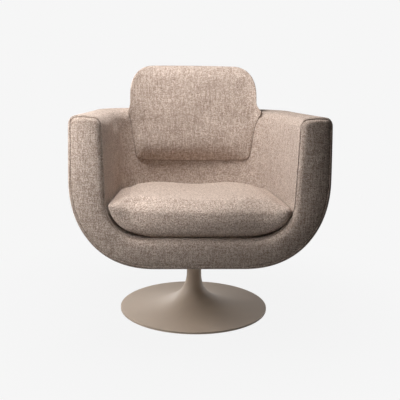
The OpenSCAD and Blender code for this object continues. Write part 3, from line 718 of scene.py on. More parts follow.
def seam_loop(s):
    """For each point of the front section: the way into the tub's wall, the inset of the seam and
    how far back it lies."""
    loop, kind, counts = front_loop(s)
    t = np.roll(loop, -1, 0) - np.roll(loop, 1, 0)
    t /= np.linalg.norm(t, axis=1, keepdims=True)
    into = round_smooth(np.stack([-t[:, 1], t[:, 0]], 1), 3)
    into /= np.linalg.norm(into, axis=1, keepdims=True)
    low = np.clip(1 - loop[:, 1] / s.arm_h, 0, 1)
    outer = np.where(kind >= 1, SEAM_IN_OUTER + SEAM_IN_LOW * low, SEAM_IN_TOP)
    share = share_of(kind - SEAM_KIND_FROM, SEAM_KIND_RUN)
    inset = round_smooth(mix(SEAM_IN_INNER, outer, share), SEAM_PASSES)
    back = round_smooth(mix(SEAM_BACK_INNER, 0.0, share), SEAM_PASSES)
    return loop, into, inset, back, counts


def wrap_rings(s):
    """Rings of points from the cover's front edge round the soft corner to the seam."""
    loop, into, inset, back, counts = seam_loop(s)
    front = -s.tub_front + back
    place = lambda side, y: np.stack([loop[:, 0] + into[:, 0] * side, y,
                                      loop[:, 1] + into[:, 1] * side], 1)
    rings = [place(0 * inset, front * 0 - s.tub_front + MARGIN)]
    for t in np.linspace(0, TURN, SEAM_TURN_STEPS):
        rings.append(place(inset * (1 - math.cos(t)), front + inset * (1 - math.sin(t))))
    rings.append(place(inset + SEAM_LIP, front + SEAM_VALLEY))
    return rings, counts


def make_cover(s):
    rows = cover_rows(s)[0]
    skin = Skin()
    ids = skin.grid(list(rows))
    table = np.array(ids)
    rings, counts = wrap_rings(s)
    under_n = counts[2]
    # the ring that the wrap starts from: the cover's own edge points and two new straight runs
    left, right = table[::-1, 0], table[:, -1]
    base = rings[0]
    a = len(left)
    under = skin.add(base[a:a + under_n])
    deck = skin.add(base[a + under_n + len(right):])
    first = np.concatenate([left, under, right, deck])
    skin.grid([first] + [skin.add(r) for r in rings[1:]], wrap=True)
    # underside, from its edge to the round opening for the swivel plate
    hole = s.floor_half - HOLE_EDGE
    edge_ids = np.concatenate([table[0], under[::-1]])
    edge = np.concatenate([rows[0], base[a:a + under_n][::-1]])
    flat = np.linalg.norm(edge[:, :2], axis=1, keepdims=True)
    ring = np.concatenate([edge[:, :2] / flat * hole, edge[:, 2:]], 1)
    steps = [edge_ids] + [mix(edge, ring, t) for t in np.linspace(0, 1, HEM_ROWS)[1:]]
    lip = ring + np.array([0, 0, COVER_T + WADDING_T])
    hem = np.array([HEM_SHARE, HEM_SHARE, 1])
    steps += [ring * hem + np.array([0, 0, HEM_LIFT]), lip * hem]
    skin.grid(steps, wrap=True)
    # deck, in strips from side to side
    n = rows.shape[1]
    last = table[-1]
    strips = [np.concatenate([[last[0]], deck[::-1], [last[-1]]])]
    across = len(strips[0])
    for i in range(1, n // 2):
        p, q = rows[-1][i], rows[-1][n - 1 - i]
        mid = skin.add(np.linspace(p, q, across)[1:-1])
        strips.append(np.concatenate([[last[i]], mid, [last[n - 1 - i]]]))
    strips.append(np.full(across, last[n // 2]))
    skin.grid(strips)
    skin.points = [seated(np.concatenate(skin.points))]
    return skin.piece("tub_cover")


def make_front(s):
    """The U-shaped panel between the two seams, full in its middle."""
    rings, (n_level, n_top, n_under) = wrap_rings(s)
    back = seam_loop(s)[3]
    seam = rings[-1][:, [0, 2]]
    side_n = 2 * n_level + n_top
    left, under = seam[:side_n], seam[side_n:side_n + n_under]
    deck = seam[2 * side_n + n_under:][::-1]
    top = left[n_level - 1:n_level + n_top + 1]
    share = (top[:, 0] - top[0, 0]) / (top[-1, 0] - top[0, 0])
    across = lambda inner, outer: inner + (outer - inner) * share[:, None]
    straight = across(left[n_level - 1], left[n_level + n_top])
    rows = [mix(straight, top, t) for t in np.linspace(1, 0, PANEL_TOP_ROWS)]
    rows += [across(left[n_level - 1 - m], left[n_level + n_top + m]) for m in range(1, n_level)]
    rows += [across(inner, outer) for inner, outer in zip(deck, under)]
    rows += [r * np.array([-1, 1]) for r in rows[:PANEL_TOP_ROWS + n_level - 1][::-1]]
    flat = np.concatenate(rows)
    depth = back + SEAM_VALLEY
    reach = mix(PANEL_TURN_OUTER, PANEL_TURN_INNER, share_of(back, SEAM_BACK_INNER))
    inner_edge = back > SEAM_BACK_HALF
    d = np.linalg.norm(flat[:, None] - seam[None], axis=2)
    d_in, d_out = d[:, inner_edge].min(1), d[:, ~inner_edge].min(1)
    near = np.clip(1 - d / reach[None], 0, 1)
    fall = (depth[None] * (1 - np.sqrt(1 - near ** 2))).max(1)
    full = np.sin(math.pi * d_out / (d_out + d_in + 1e-9)) ** PANEL_FULL_N
    wave = unevenness(np.stack([flat[:, 0], 0 * full, flat[:, 1]], 1), PANEL_WAVE, PANEL_WAVE_H, 7)
    y = -s.tub_front + fall - (s.front_crown + wave) * full
    grid = np.stack([flat[:, 0], y, flat[:, 1]], 1).reshape(len(rows), -1, 3)
    skin = Skin()
    skin.grid([seated(r) for r in grid])
    return skin.piece("front_panel", weld=WELD)


def seam_line(s, out, ahead):
    """The seam from arm to arm, moved towards the outside and to the front by the lengths given."""
    rings, (n_level, n_top, n_under) = wrap_rings(s)
    into = seam_loop(s)[1]
    way = np.stack([into[:, 0], np.zeros(len(into)), into[:, 1]], 1)
    start = n_level + SEAM_ENDS
    stop = 2 * (2 * n_level + n_top) + n_under - n_level - SEAM_ENDS
    return seated((rings[-1] - way * out + np.array([0, -ahead, 0]))[start:stop])


def make_seams(s):
    skin = Skin()
    skin.tube(seam_line(s, WELT_OUT, WELT_AHEAD), WELT_R, sides=8)
    return skin.piece("seam_welt")


def stitches(line, away, pitch, long, thick, skin):
    """Short threads at even steps along a line, raised along the way given."""
    d = distances(line)
    for at in np.arange(pitch / 2, d[-1] - pitch / 2, pitch):
        ends = [np.array([np.interp(at + o, d, line[:, c]) for c in range(3)])
                for o in (-long / 2, -long / 4, 0, long / 4, long / 2)]
        lift = np.array([-0.4, 0.35, 0.6, 0.35, -0.4]) * thick
        skin.tube([p + away * h for p, h in zip(ends, lift)], thick / 2, sides=5)


def make_thread(s):
    skin = Skin()
    away = seated(np.array([0, -1.0, 0])) - seated(np.array([0, 0.0, 0]))
    for out in (STITCH_OUT, -STITCH_IN):
        stitches(seam_line(s, out, STITCH_AHEAD), away, STITCH_PITCH, STITCH_LONG, STITCH_THICK, skin)
    return skin.piece("seam_thread")


# Headrest and back pad

# The headrest: its rounded rear edge, its play in the pad's outline, the crown of its top, how far
# it sinks between the arms, and how high above its foot the point lies that its rings shrink to
HEAD_EDGE, HEAD_PLAY, HEAD_CROWN, HEAD_SINK, HEAD_HEART = 0.040, 0.003, 0.0015, 0.003, 0.015
HEAD_TURN_W, HEAD_TURN_H, HEAD_N = 0.085, 0.105, 2.35
HEAD_FRONT_OFF, HEAD_BACK_OFF, HEAD_POINTS = 0.0008, 0.0016, 70
# The fillets between the headrest and the arms: their widths, their height above the arms, how many
# times that height they go on below, and the shares of the half width between which they come in
FLARE_LEFT, FLARE_RIGHT, FLARE_H, FLARE_DEEP = 0.007, 0.019, 0.030, 2.4
FLARE_FROM, FLARE_RUN = 0.90, 0.06
# Half the width over which the pad and the headrest follow the lining
LINED_HALF = 0.235


def plan_y_at(x, half, front, back, side, taper, n):
    """How far back the curve of a plan lies at x."""
    c = np.clip(np.abs(x) / (half * (1 - taper)), 0, 1) ** (n / 2)
    return mix(front, back, side + (1 - side) * (1 - c ** 2) ** (1 / n))


def lining_y(s, x, z):
    """How far back the lining lies at a place seen from the front."""
    start = s.deck_h + s.inner_corner_h
    half = mix(inner_half(s) - s.inner_draw, inner_half(s),
               (z - start) / (s.arm_h - s.edge_r - start))
    return plan_y_at(x, half, BORDER_D - s.tub_front, inner_wall_y(s, z), INNER_SIDE_SHARE,
                     INNER_TAPER, INNER_PLAN_N)


def padded_y(s, x, z):
    """The lining's place behind the pad and the headrest, kept level past their sides."""
    return lining_y(s, np.clip(x, -LINED_HALF, LINED_HALF), z)


def outer_back_y(s, x):
    """How far back the outside lies at x."""
    return plan_y_at(x, s.tub_w / 2, BORDER_D - s.tub_front, s.tub_back, SIDE_SHARE, SIDE_TAPER,
                     PLAN_N)


def flare(s, z):
    """Share of the fillet's width at a height, above the arms and fading out below them."""
    up = share_of(z - s.arm_h, FLARE_H)
    down = share_of(s.arm_h - z, FLARE_DEEP * FLARE_H)
    return np.where(z > s.arm_h, (1 - up) ** 2, (1 - down) ** 2)


def resample(line, count):
    """The line again, with its points at even steps."""
    d = distances(line)
    at = np.linspace(0, d[-1], count)
    return np.stack([np.interp(at, d, line[:, c]) for c in range(line.shape[1])], 1)


def whole(right):
    """A closed outline from its right half."""
    return np.concatenate([right, right[-2:0:-1] * np.array([-1, 1])])


def filleted(s, right):
    """The whole outline from its right half, with the wider fillet at the right notch."""
    both = whole(right)
    side = share_of(np.abs(both[:, 0]) / (s.head_w / 2) - FLARE_FROM, FLARE_RUN)
    both[:, 0] += side * flare(s, both[:, 1]) * np.where(both[:, 0] > 0, FLARE_RIGHT, -FLARE_LEFT)
    return both


def head_outline(s, foot, count):
    """Right half from the middle of the foot to the middle of the top, as (x, z)."""
    half, top = s.head_w / 2 + HEAD_PLAY, s.head_top
    zs = np.linspace(foot, top - HEAD_TURN_H, 50)
    side = np.stack([np.full_like(zs, half), zs], 1)
    turn = np.linspace(0, TURN, 60)
    corner = np.stack([half - HEAD_TURN_W + HEAD_TURN_W * bow(np.cos(turn), HEAD_N),
                       top - HEAD_TURN_H + HEAD_TURN_H * bow(np.sin(turn), HEAD_N)], 1)
    crown = np.linspace([corner[-1, 0], top], [0, top], 20)[1:]
    crown[:, 1] = top + HEAD_CROWN * (1 - (crown[:, 0] / corner[-1, 0]) ** 2)
    return resample(np.concatenate([[[0, foot]], side, corner[1:], crown]), count)


def make_headrest(s):
    foot = s.arm_h - s.edge_r - HEAD_SINK
    heart = foot + HEAD_HEART
    line = filleted(s, head_outline(s, foot, HEAD_POINTS))

    def ring(share, y_of, tuck=0.0):
        x, z = line[:, 0] * share, heart + (line[:, 1] - heart) * share
        return np.stack([x, y_of(x, z) - tuck, z], 1)

    front = lambda x, z: padded_y(s, x, z) + HEAD_FRONT_OFF
    back = lambda x, z: outer_back_y(s, x) + HEAD_BACK_OFF
    rows = [ring(t, front) for t in (0.02, 0.3, 0.6, 0.85)]
    edge = ring(1, front)
    flat = 1 - HEAD_EDGE / (s.head_w / 2)
    turned = [ring(mix(flat, 1, math.sin(a)), back, HEAD_EDGE * (1 - math.cos(a)))
              for a in np.linspace(TURN, 0, 10)]
    rows.append(edge)
    rows += [mix(edge, turned[0], t) for t in (0.25, 0.5, 0.75)]
    rows += turned
    rows += [ring(flat * t, back) for t in (0.8, 0.6, 0.4, 0.2, 0.02)]
    return closed_piece("headrest", rows)


# The pad's outline: its foot, where its sides start above the corner, and where its top starts
PAD_FOOT_R, PAD_DIP, PAD_SIDE_UP, PAD_SIDE_N, PAD_TOP_UP = 0.022, 0.008, 0.006, 0.85, 0.004
# The pad's fullness: thickness at its seam, run of the seam's turn, heights of its foot and its top
PAD_EDGE, PAD_EDGE_RUN, PAD_LOW, PAD_HIGH, PAD_HIGH_UP = 0.0020, 0.010, 0.080, 0.060, 0.002
PAD_LOW_N, PAD_SIDES_LOW, PAD_SIDES_HIGH, PAD_SIDES_RISE = 2.4, 7, 2.4, 0.13
PAD_OFF, PAD_WAVE, PAD_WAVE_H, PAD_WAVE_FROM, PAD_POINTS = 0.0012, 0.07, 0.0035, 0.02, 84
PAD_SHARES = (0.993, 0.982, 0.965, 0.945, 0.92, 0.89, 0.85, 0.80, 0.74, 0.67, 0.59, 0.5, 0.4, 0.3,
              0.2, 0.1, 0.004)
# The cord round the pad's foot: its thickness, and how far it stands out and down from the edge
CORD_R, CORD_SPREAD, CORD_DROP, CORD_END = 0.0008, 1.003, 0.0008, 0.004


def pad_outline(s):
    """The pad's outline as (x, z), from the middle of its foot."""
    half, foot, foot_half, r = s.head_w / 2, s.pad_bottom, s.pad_foot_half, PAD_FOOT_R
    turn = np.linspace(-TURN, -math.radians(10), 20)
    corner = np.stack([foot_half - r + r * np.cos(turn), foot + r + r * np.sin(turn)], 1)
    zs = np.linspace(corner[-1, 1] + PAD_SIDE_UP, s.arm_h, 30)
    t = (zs - corner[-1, 1]) / (s.arm_h - corner[-1, 1])
    side = np.stack([mix(corner[-1, 0], half + HEAD_PLAY, t ** PAD_SIDE_N), zs], 1)
    dip = np.linspace([0, foot - PAD_DIP], corner[0], 24)[:-1]
    dip[:, 1] = foot - PAD_DIP * (1 - (dip[:, 0] / corner[0, 0]) ** 2)
    upper = head_outline(s, s.arm_h + PAD_TOP_UP, 90)
    upper = upper[np.argmax(upper[:, 0]):]
    return filleted(s, resample(np.concatenate([dip, corner, side, upper]), PAD_POINTS))


def quarter(v):
    """Height of a quarter circle at share v of its width."""
    return np.sqrt(1 - (1 - np.clip(v, 0, 1)) ** 2)


def pad_fullness(s, line, x, z):
    """Thickness of the pad: quick at its seam, then a shallow dome, rounded under at its foot."""
    near = np.min(np.linalg.norm(np.stack([x, z], 1)[:, None] - line[None], axis=2), axis=1)
    half = mix(s.pad_foot_half, s.head_w / 2, share_of(z - s.pad_bottom, s.arm_h - s.pad_bottom))
    sides = mix(PAD_SIDES_LOW, PAD_SIDES_HIGH, share_of(z - s.pad_bottom, PAD_SIDES_RISE))
    dome = 1 - share_of(np.abs(x), half) ** sides
    under = 1 - (1 - share_of(z - s.pad_bottom + PAD_DIP, PAD_LOW)) ** PAD_LOW_N
    high = quarter((s.head_top + PAD_HIGH_UP - z) / PAD_HIGH)
    return PAD_EDGE * quarter(near / PAD_EDGE_RUN) + (s.pad_crown - PAD_EDGE) * dome * under * high


def pad_rows(s):
    """Rings of the pad, from its rear over its edge to its front."""
    line = pad_outline(s)
    middle = (s.pad_bottom + s.head_top) / 2
    rows = []
    for front in (False, True):
        for share in (1.0,) + PAD_SHARES if front else PAD_SHARES[::-1]:
            x, z = line[:, 0] * share, middle + (line[:, 1] - middle) * share
            full = pad_fullness(s, line, x, z) if front else 0
            place = np.stack([x, padded_y(s, x, z) - PAD_OFF - full, z], 1)
            if front:
                waves = unevenness(place, PAD_WAVE, PAD_WAVE_H, 3)
                place[:, 1] -= waves * share_of(full, PAD_WAVE_FROM)
            rows.append(place)
    return rows


def make_pad(s):
    return closed_piece("back_pad_cloth", pad_rows(s))


def make_pad_seam(s):
    """Fine cord where the pad meets the tub, from notch to notch."""
    line = pad_outline(s)
    n = len(line)
    low = [i for i in range(-n // 2, n // 2) if line[i, 1] < s.arm_h - CORD_END]
    x, z = line[low].T
    skin = Skin()
    skin.tube(seated(np.stack([x * CORD_SPREAD, padded_y(s, x, z) - PAD_OFF, z - CORD_DROP], 1)),
              CORD_R, sides=8)
    return skin.piece("pad_seam")


# Seat cushion

CUSHION_CORNER, CUSHION_CROWN_N, FRONT_DIP = 0.014, 2.75, 0.005
CUSHION_LOW_ROWS, CUSHION_HIGH_ROWS, CUSHION_POINTS = 14, 16, 90
CUSHION_PLAY, SIDE_START = 0.0008, 0.004
FOOT_ROUND, FOOT_N, FORWARD_N = 0.027, 2.8, 6
# How the cushion lies askew: the drop at its side, and over what width and depth it comes in
CUSHION_SKEW, SKEW_HALF, SKEW_DEPTH = 0.009, 0.27, 0.3
# Two low waves of the top, one on each side of a shallow dip: their height, place and width
WAVE_H, WAVE_X, WAVE_W, DIP_H, DIP_W = 0.003, 0.135, 0.06, 0.005, 0.07
# The rounding of the top's front: rows, passes, where it starts, and where it ends beside the corners
NOSE_ROWS, NOSE_PASSES = 64, 40
NOSE_FROM, NOSE_RUN, NOSE_HALF, NOSE_SIDE_RUN = -0.24, 0.05, 0.270, 0.09
# Where the cushion is free to swell: its front, its top, and inwards from its sides and its back
FREE_FRONT_Y, FREE_FRONT_RUN, FREE_FRONT_Z, FREE_TOP_Z, FREE_RISE = -0.20, 0.10, 0.135, 0.155, 0.05
FREE_HALF, FREE_BACK_Y, FREE_RUN = 0.266, 0.155, 0.06


def inner_narrow(s, z):
    """Share of the full width that the inside has at height z."""
    t = share_of(z - s.deck_h, s.inner_corner_h)
    return mix(INNER_FLOOR_SHARE, 1, (1 - (1 - t) ** CORNER_N) ** (1 / CORNER_N))


def cushion_plan(s, z, front, js):
    """Right half of the cushion's outline at a height, from the middle of its front to its back."""
    narrow = float(inner_narrow(s, z))
    half = narrow * (inner_half(s) - s.inner_draw) - CUSHION_GAP
    back = narrow * inner_wall_y(s, z) - CUSHION_GAP
    reach = half - CUSHION_CORNER
    u = np.linspace(0, 1, 24)[:-1]
    bulge = s.cushion_bulge * (1 - (s.tub_front - front) / FOOT_ROUND)
    lead = np.stack([u * reach, -front - bulge * (1 - u * u)], 1)
    turn = np.linspace(-TURN, 0, 10)
    corner = np.stack([reach + CUSHION_CORNER * np.cos(turn),
                       CUSHION_CORNER * (1 + np.sin(turn)) - front], 1)
    px, py = plan(js, INNER_SIDE_SHARE, INNER_TAPER, INNER_PLAN_N)
    side = np.stack([half * px, mix(-s.tub_front, back, py)], 1)
    side = side[side[:, 1] > corner[-1, 1] + SIDE_START]
    return np.concatenate([lead, corner, side])


def nosed(rows):
    """Rounds the turn from top to front, and leaves the two front corners pointed."""
    steps = np.linalg.norm(np.diff(rows, axis=0), axis=2)
    far = np.concatenate([np.zeros((1, rows.shape[1])), np.cumsum(steps, 0)])
    evened = np.empty((NOSE_ROWS,) + rows.shape[1:])
    for i in range(rows.shape[1]):
        at = np.linspace(0, far[-1, i], NOSE_ROWS)
        for c in range(3):
            evened[:, i, c] = np.interp(at, far[:, i], rows[:, i, c])
    ahead = share_of(NOSE_FROM - evened[..., 1], NOSE_RUN)
    corner = share_of(NOSE_HALF - np.abs(evened[..., 0]), NOSE_SIDE_RUN)
    share = (ahead * corner * corner * (3 - 2 * corner))[..., None]
    for _ in range(NOSE_PASSES):
        mean = evened.copy()
        mean[1:-1] = 0.5 * evened[1:-1] + 0.25 * (evened[:-2] + evened[2:])
        evened = mix(evened, mean, share)
    return evened


def cushion_rows(s):
    """Rings of the cushion, from the middle of its underside round to the middle of its top."""
    fine = np.linspace(0, HALF_STEPS, 160)
    foot = s.deck_h + CUSHION_PLAY

    def ring(z, front, shape):
        right = resample(cushion_plan(s, z - CUSHION_GAP, front, fine), CUSHION_POINTS)
        return shape(whole(right))

    def forward(p):
        return share_of(-(p[:, 1] - CUSHION_MID_Y), s.tub_front + CUSHION_MID_Y) ** FORWARD_N

    def wave(x):
        sides = WAVE_H * np.exp(-((np.abs(x) - WAVE_X) / WAVE_W) ** 2)
        return sides - DIP_H * np.exp(-(x / DIP_W) ** 2)

    def askew(p):
        return -CUSHION_SKEW * p[:, 0] / SKEW_HALF * share_of(-p[:, 1], SKEW_DEPTH)

    rows = []
    for a in np.linspace(0, TURN, CUSHION_LOW_ROWS):
        z = mix(foot, s.cushion_ear_h, 1 - math.cos(a))
        front = s.tub_front - FOOT_ROUND * (1 - math.sin(a) ** (2 / FOOT_N))
        rows.append(ring(z, front, lambda p: np.column_stack(
            [p, z + (askew(p) - FRONT_DIP * forward(p)) * (1 - math.cos(a))])))
    for a in np.linspace(0, TURN, CUSHION_HIGH_ROWS)[1:]:
        share = max(math.cos(a) ** (2 / CUSHION_CROWN_N) if a < TURN - 1e-6 else 0, 0.01)
        up = math.sin(a) ** (2 / CUSHION_CROWN_N)
        rows.append(ring(s.cushion_ear_h, s.tub_front, lambda p: np.column_stack(
            [p[:, 0] * share, mix(CUSHION_MID_Y, p[:, 1], share),
             mix(s.cushion_ear_h + askew(p) - FRONT_DIP * forward(p), s.cushion_top_h, up)
             + wave(p[:, 0] * share) * up])))
    rows = nosed(np.array(rows))
    bottom = rows[0]
    first = [np.column_stack([bottom[:, 0] * t, mix(CUSHION_MID_Y, bottom[:, 1], t), bottom[:, 2]])
             for t in (0.01, 0.35, 0.7)]
    return first + list(rows)


def make_cushion(s):
    made = closed_piece("seat_cushion_cloth", cushion_rows(s))

    def free(p):
        high = p[:, 2] - s.tub_lift
        front = share_of(FREE_FRONT_Y - p[:, 1], FREE_FRONT_RUN)
        front *= share_of(high - FREE_FRONT_Z, FREE_RISE)
        top = share_of(high - FREE_TOP_Z, FREE_RISE)
        side = share_of(FREE_HALF - np.abs(p[:, 0]), FREE_RUN)
        back = share_of(FREE_BACK_Y - p[:, 1], FREE_RUN)
        return np.maximum(front, top) * side * side * (3 - 2 * side) * back

    puffed(made, SWELL_VOXEL, SWELL_CAP, free)
    return made


# Inner layers

LAYER_COLUMNS, LAYER_ROWS, LINER_RISE = 30, 18, 0.003
STRIP_COLUMNS, STRIP_R, STRIP_SHORT = 40, 0.006, 0.016


def layer(s, name, near, far, drop):
    """A closed layer of the tub's wall between two depths, each given as (depth, from inside)."""
    js = half_columns(s, LAYER_COLUMNS)
    ks = np.concatenate([corner_levels(s, LAYER_ROWS), np.arange(CORNER_STEPS, LEVELS) + 1])
    inset = BORDER_D + FIT
    out = [both_sides(wall_pt(s, js, k, *near, drop, inset)) for k in ks]
    inn = [both_sides(wall_pt(s, js, k, *far, drop, inset)) for k in ks[::-1]]
    skin = Skin()
    ids = skin.grid([seated(r) for r in out + inn])
    table = np.array(ids)
    n, m = table.shape[1], len(ks)
    skin.faces.append([table[0, 0], table[-1, 0], table[-1, n - 1], table[0, n - 1]])
    for end in (0, n - 1):
        for a in range(m - 1):
            skin.faces.append([table[a, end], table[a + 1, end], table[2 * m - 2 - a, end],
                               table[2 * m - 1 - a, end]])
    for ring in (table[0], table[-1]):
        for i in range(n // 2 - 1):
            skin.faces.append([ring[i], ring[i + 1], ring[n - 2 - i], ring[n - 1 - i]])
        skin.faces.append([ring[n // 2 - 1], ring[n // 2], ring[n // 2 + 1]])
    return skin.piece(name)


def arm_strip(s):
    """Foam strip on the arm tops with rounded edges."""
    js = half_columns(s, STRIP_COLUMNS)
    inset = BORDER_D + FIT
    a = both_sides(outer_pt(s, js, LEVELS, 0, inset))
    b = both_sides(inner_pt(s, js, LEVELS, 0, inset))
    wide = np.linalg.norm(b - a, axis=1, keepdims=True)
    run = (b - a) / wide
    high, low, r = -COVER_T - FIT, -COVER_T - FIT - TOP_PAD_T + 2 * FIT, STRIP_R
    outline = [(s.edge_r, low), (s.edge_r, high - r), (s.edge_r + r * 0.3, high - r * 0.3),
               (s.edge_r + r, high)]
    rows = [a + run * d + np.array([0, 0, z]) for d, z in outline]
    more = INNER_RIM_BACK + STRIP_SHORT - s.edge_r
    rows += [a + run * (wide - more - d) + np.array([0, 0, z]) for d, z in outline[::-1]]
    skin = Skin()
    ids = skin.grid([seated(r) for r in rows])
    skin.grid([ids[-1], ids[0]])
    for end in (0, -1):
        skin.faces.append([int(i[end]) for i in ids])
    return skin.piece("arm_pads")


# Operators

class CHAIR_OT_cover(bpy.types.Operator):
    """Wrap the tub in one cloth: outside, arm tops, inside and deck"""
    bl_idname = "chair.cover"
    bl_label = "Tub cover"

    def execute(self, context):
        s = sizes()
        made = dressed(make_cover(s), cloth(), "seat")
        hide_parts("outer_cover", "inner_lining")
        return {"FINISHED"}


class CHAIR_OT_front(bpy.types.Operator):
    """Set the U-shaped front panel between its seams"""
    bl_idname = "chair.front"
    bl_label = "Front panel"

    def execute(self, context):
        made = dressed(make_front(sizes()), cloth(), "seat")
        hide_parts("front_border")
        return {"FINISHED"}


class CHAIR_OT_seams(bpy.types.Operator):
    """Sew the welt and the two rows of stitches round the front panel"""
    bl_idname = "chair.seams"
    bl_label = "Seams"

    def execute(self, context):
        s = sizes()
        dressed(make_seams(s), cloth(), "seat")
        dressed(make_thread(s), seam_thread(), "seat")
        return {"FINISHED"}


class CHAIR_OT_back(bpy.types.Operator):
    """Pad the headrest and lay the long back cushion against it"""
    bl_idname = "chair.back"
    bl_label = "Headrest and back pad"

    def execute(self, context):
        s = sizes()
        head = dressed(make_headrest(s), cloth(), "seat")
        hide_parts("headrest_body")
        pad = dressed(make_pad(s), cloth("back"), "seat")
        dressed(make_pad_seam(s), seam_thread(), "seat")
        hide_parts("back_pad")
        return {"FINISHED"}


class CHAIR_OT_cushion(bpy.types.Operator):
    """Lay the loose seat cushion in the tub"""
    bl_idname = "chair.cushion"
    bl_label = "Seat cushion"

    def execute(self, context):
        made = dressed(make_cushion(sizes()), cloth("seat"), "cushion")
        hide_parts("seat_cushion")
        return {"FINISHED"}


class CHAIR_OT_padding(bpy.types.Operator):
    """Fill the tub's wall with foam, wadding and the arm strips"""
    bl_idname = "chair.padding"
    bl_label = "Inner padding"

    def execute(self, context):
        s = sizes()
        foam = plain("cut_foam", (0.72, 0.62, 0.36), (0.84, 0.76, 0.50), 700, 0.95, bump_h=0.0008)
        fleece = plain("wadding_fleece", (0.78, 0.78, 0.76), (0.92, 0.92, 0.90), 240, 0.98,
                       stretch=(1, 1, 0.3), bump_h=0.0015)
        skin = COVER_T + FIT
        liner = layer(s, "foam_liner", (skin + FOAM_T, True), (skin, True),
                      INNER_RIM_BACK - LINER_RISE)
        dressed(liner, foam, "seat")
        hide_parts("inner_foam")
        wrap = layer(s, "wadding_wrap", (skin, False), (skin + WADDING_T, False), skin + TOP_PAD_T)
        dressed(wrap, fleece, "seat")
        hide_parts("outer_wadding")
        strips = dressed(arm_strip(s), foam, "seat")
        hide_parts("arm_top_pad")
        return {"FINISHED"}


class CHAIR_OT_timber(bpy.types.Operator):
    """Finish the timber frame and its webbing"""
    bl_idname = "chair.timber"
    bl_label = "Timber frame"

    def execute(self, context):
        wood = timber("beech_ply")
        for name in ("seat_board", "seat_rail_left", "seat_rail_right", "front_former",
                     "rear_former", "waist_rail", "arm_posts", "arm_top_rail", "headrest_panel"):
            paint_node(name, wood)
        paint_node("seat_webbing", plain("elastic_webbing", (0.06, 0.055, 0.04), (0.13, 0.12, 0.09),
                                         500, 0.85, stretch=(0.1, 1, 1)))
        return {"FINISHED"}


class CHAIR_OT_pedestal(bpy.types.Operator):
    """Finish the base, the column, the bearings and their fasteners"""
    bl_idname = "chair.pedestal"
    bl_label = "Pedestal"

    def execute(self, context):
        f = finish()
        paint_node("base_trumpet", painted("base_powder_coat", tuple(f.base_paint), 0.50))
        paint_node("hub_plate", painted("hub_black_paint", (0.022, 0.022, 0.024), 0.42))
        bright = metal("turned_steel", (0.62, 0.62, 0.63), 0.28)
        zinc = metal("zinc_plate", (0.55, 0.56, 0.58), 0.36, brushed=False)
        for name in ("column_tube", "swivel_spindle", "lower_race", "upper_race", "bearing_balls"):
            paint_node(name, bright)
        for name in ("column_washer", "column_nut", "spindle_washer", "plate_bolts",
                     "plate_washers", "tee_nuts"):
            paint_node(name, zinc)
        paint_node("retaining_clip", metal("spring_steel", (0.16, 0.16, 0.18), 0.4, brushed=False))
        paint_node("ball_cage", metal("pressed_brass", (0.72, 0.55, 0.24), 0.32, brushed=False))
        paint_node("ballast_plate", plain("cast_iron", (0.028, 0.028, 0.03), (0.055, 0.055, 0.058),
                                          160, 0.8, bump_h=0.0006))
        rubber = plain("floor_rubber", (0.016, 0.016, 0.017), (0.03, 0.03, 0.031), 900, 0.85)
        for name in ("floor_pad", "column_plug"):
            paint_node(name, rubber)
        acetal = plain("bush_acetal", (0.66, 0.64, 0.57), (0.72, 0.70, 0.64), 60, 0.45, bump_h=0.0001)
        for name in ("upper_bush", "lower_bush"):
            paint_node(name, acetal)
        return {"FINISHED"}


# The camera's place, its turn as yaw, dip and roll, and its lens
CAMERA = (-0.1348, -2.6, 0.9787)
CAMERA_TURN = (math.radians(-3.33), math.radians(12.98), math.radians(0.94))
SENSOR, FOCAL_PIXELS, PICTURE_PIXELS = 36, 801.2, 400
LENS = SENSOR * FOCAL_PIXELS / PICTURE_PIXELS
# The pale ground and sky as the camera sees them, what the sky lights, and the floor's own shade
BACKDROP, SKY_LIGHT, FLOOR_SHADE, FLOOR_HALF = 0.922, 0.012, 0.35, 14
SHADOW_NEAR, SHADOW_FAR, SHADOW_SHARE = 0.25, 0.95, 0.035
# Square lamps turned to the chair's middle: place, width and power
LAMP_AIM = (0, 0, 0.5)
LAMPS = {"top_lamp": ((-0.25, 0.0, 1.7), 0.5, 12.1),
         "left_lamp": ((-0.5, -0.2, 1.7), 0.5, 8.6),
         "front_lamp": ((-0.664, -0.664, 0.842), 0.4, 2.3),
         "fill_lamp": ((-0.483, -0.837, 0.759), 0.4, 1.5),
         "side_lamp": ((-0.837, -0.483, 0.759), 0.4, 1.5),
         "low_lamp": ((-0.985, 0.0, 0.674), 0.4, 5.2),
         "rear_lamp": ((-1.083, 1.876, 0.882), 1.0, 16.0),
         "right_lamp": ((2.0, 1.2, 0.45), 1.0, 7.0)}


def pale_floor():
    """Even pale ground to the camera, with a faint shadow near the chair, and clear from below."""
    made = new_material("pale_floor")
    n = Nodes(made)
    lit = n.add("ShaderNodeBsdfDiffuse")
    lit.inputs["Color"].default_value = (FLOOR_SHADE, FLOOR_SHADE, FLOOR_SHADE, 1)
    far = n.add("ShaderNodeVectorMath", {"Vector": n.add("ShaderNodeTexCoord").outputs["Object"]},
                operation="LENGTH")
    part = n.add("ShaderNodeMapRange", {"Value": far.outputs["Value"]},
                 interpolation_type="SMOOTHSTEP", From_Min=SHADOW_NEAR, From_Max=SHADOW_FAR,
                 To_Min=1 - SHADOW_SHARE, To_Max=1.0)
    share = n.math("MULTIPLY", n.seen_rays(), part.outputs[0])
    glow = n.glow("ShaderNodeEmission", BACKDROP)
    both = n.add("ShaderNodeMixShader", {0: share, 1: lit.outputs[0], 2: glow})
    below = n.add("ShaderNodeNewGeometry").outputs["Backfacing"]
    clear = n.add("ShaderNodeBsdfTransparent")
    whole = n.add("ShaderNodeMixShader", {0: below, 1: both.outputs[0], 2: clear.outputs[0]})
    n.add("ShaderNodeOutputMaterial", {"Surface": whole.outputs[0]})
    return made


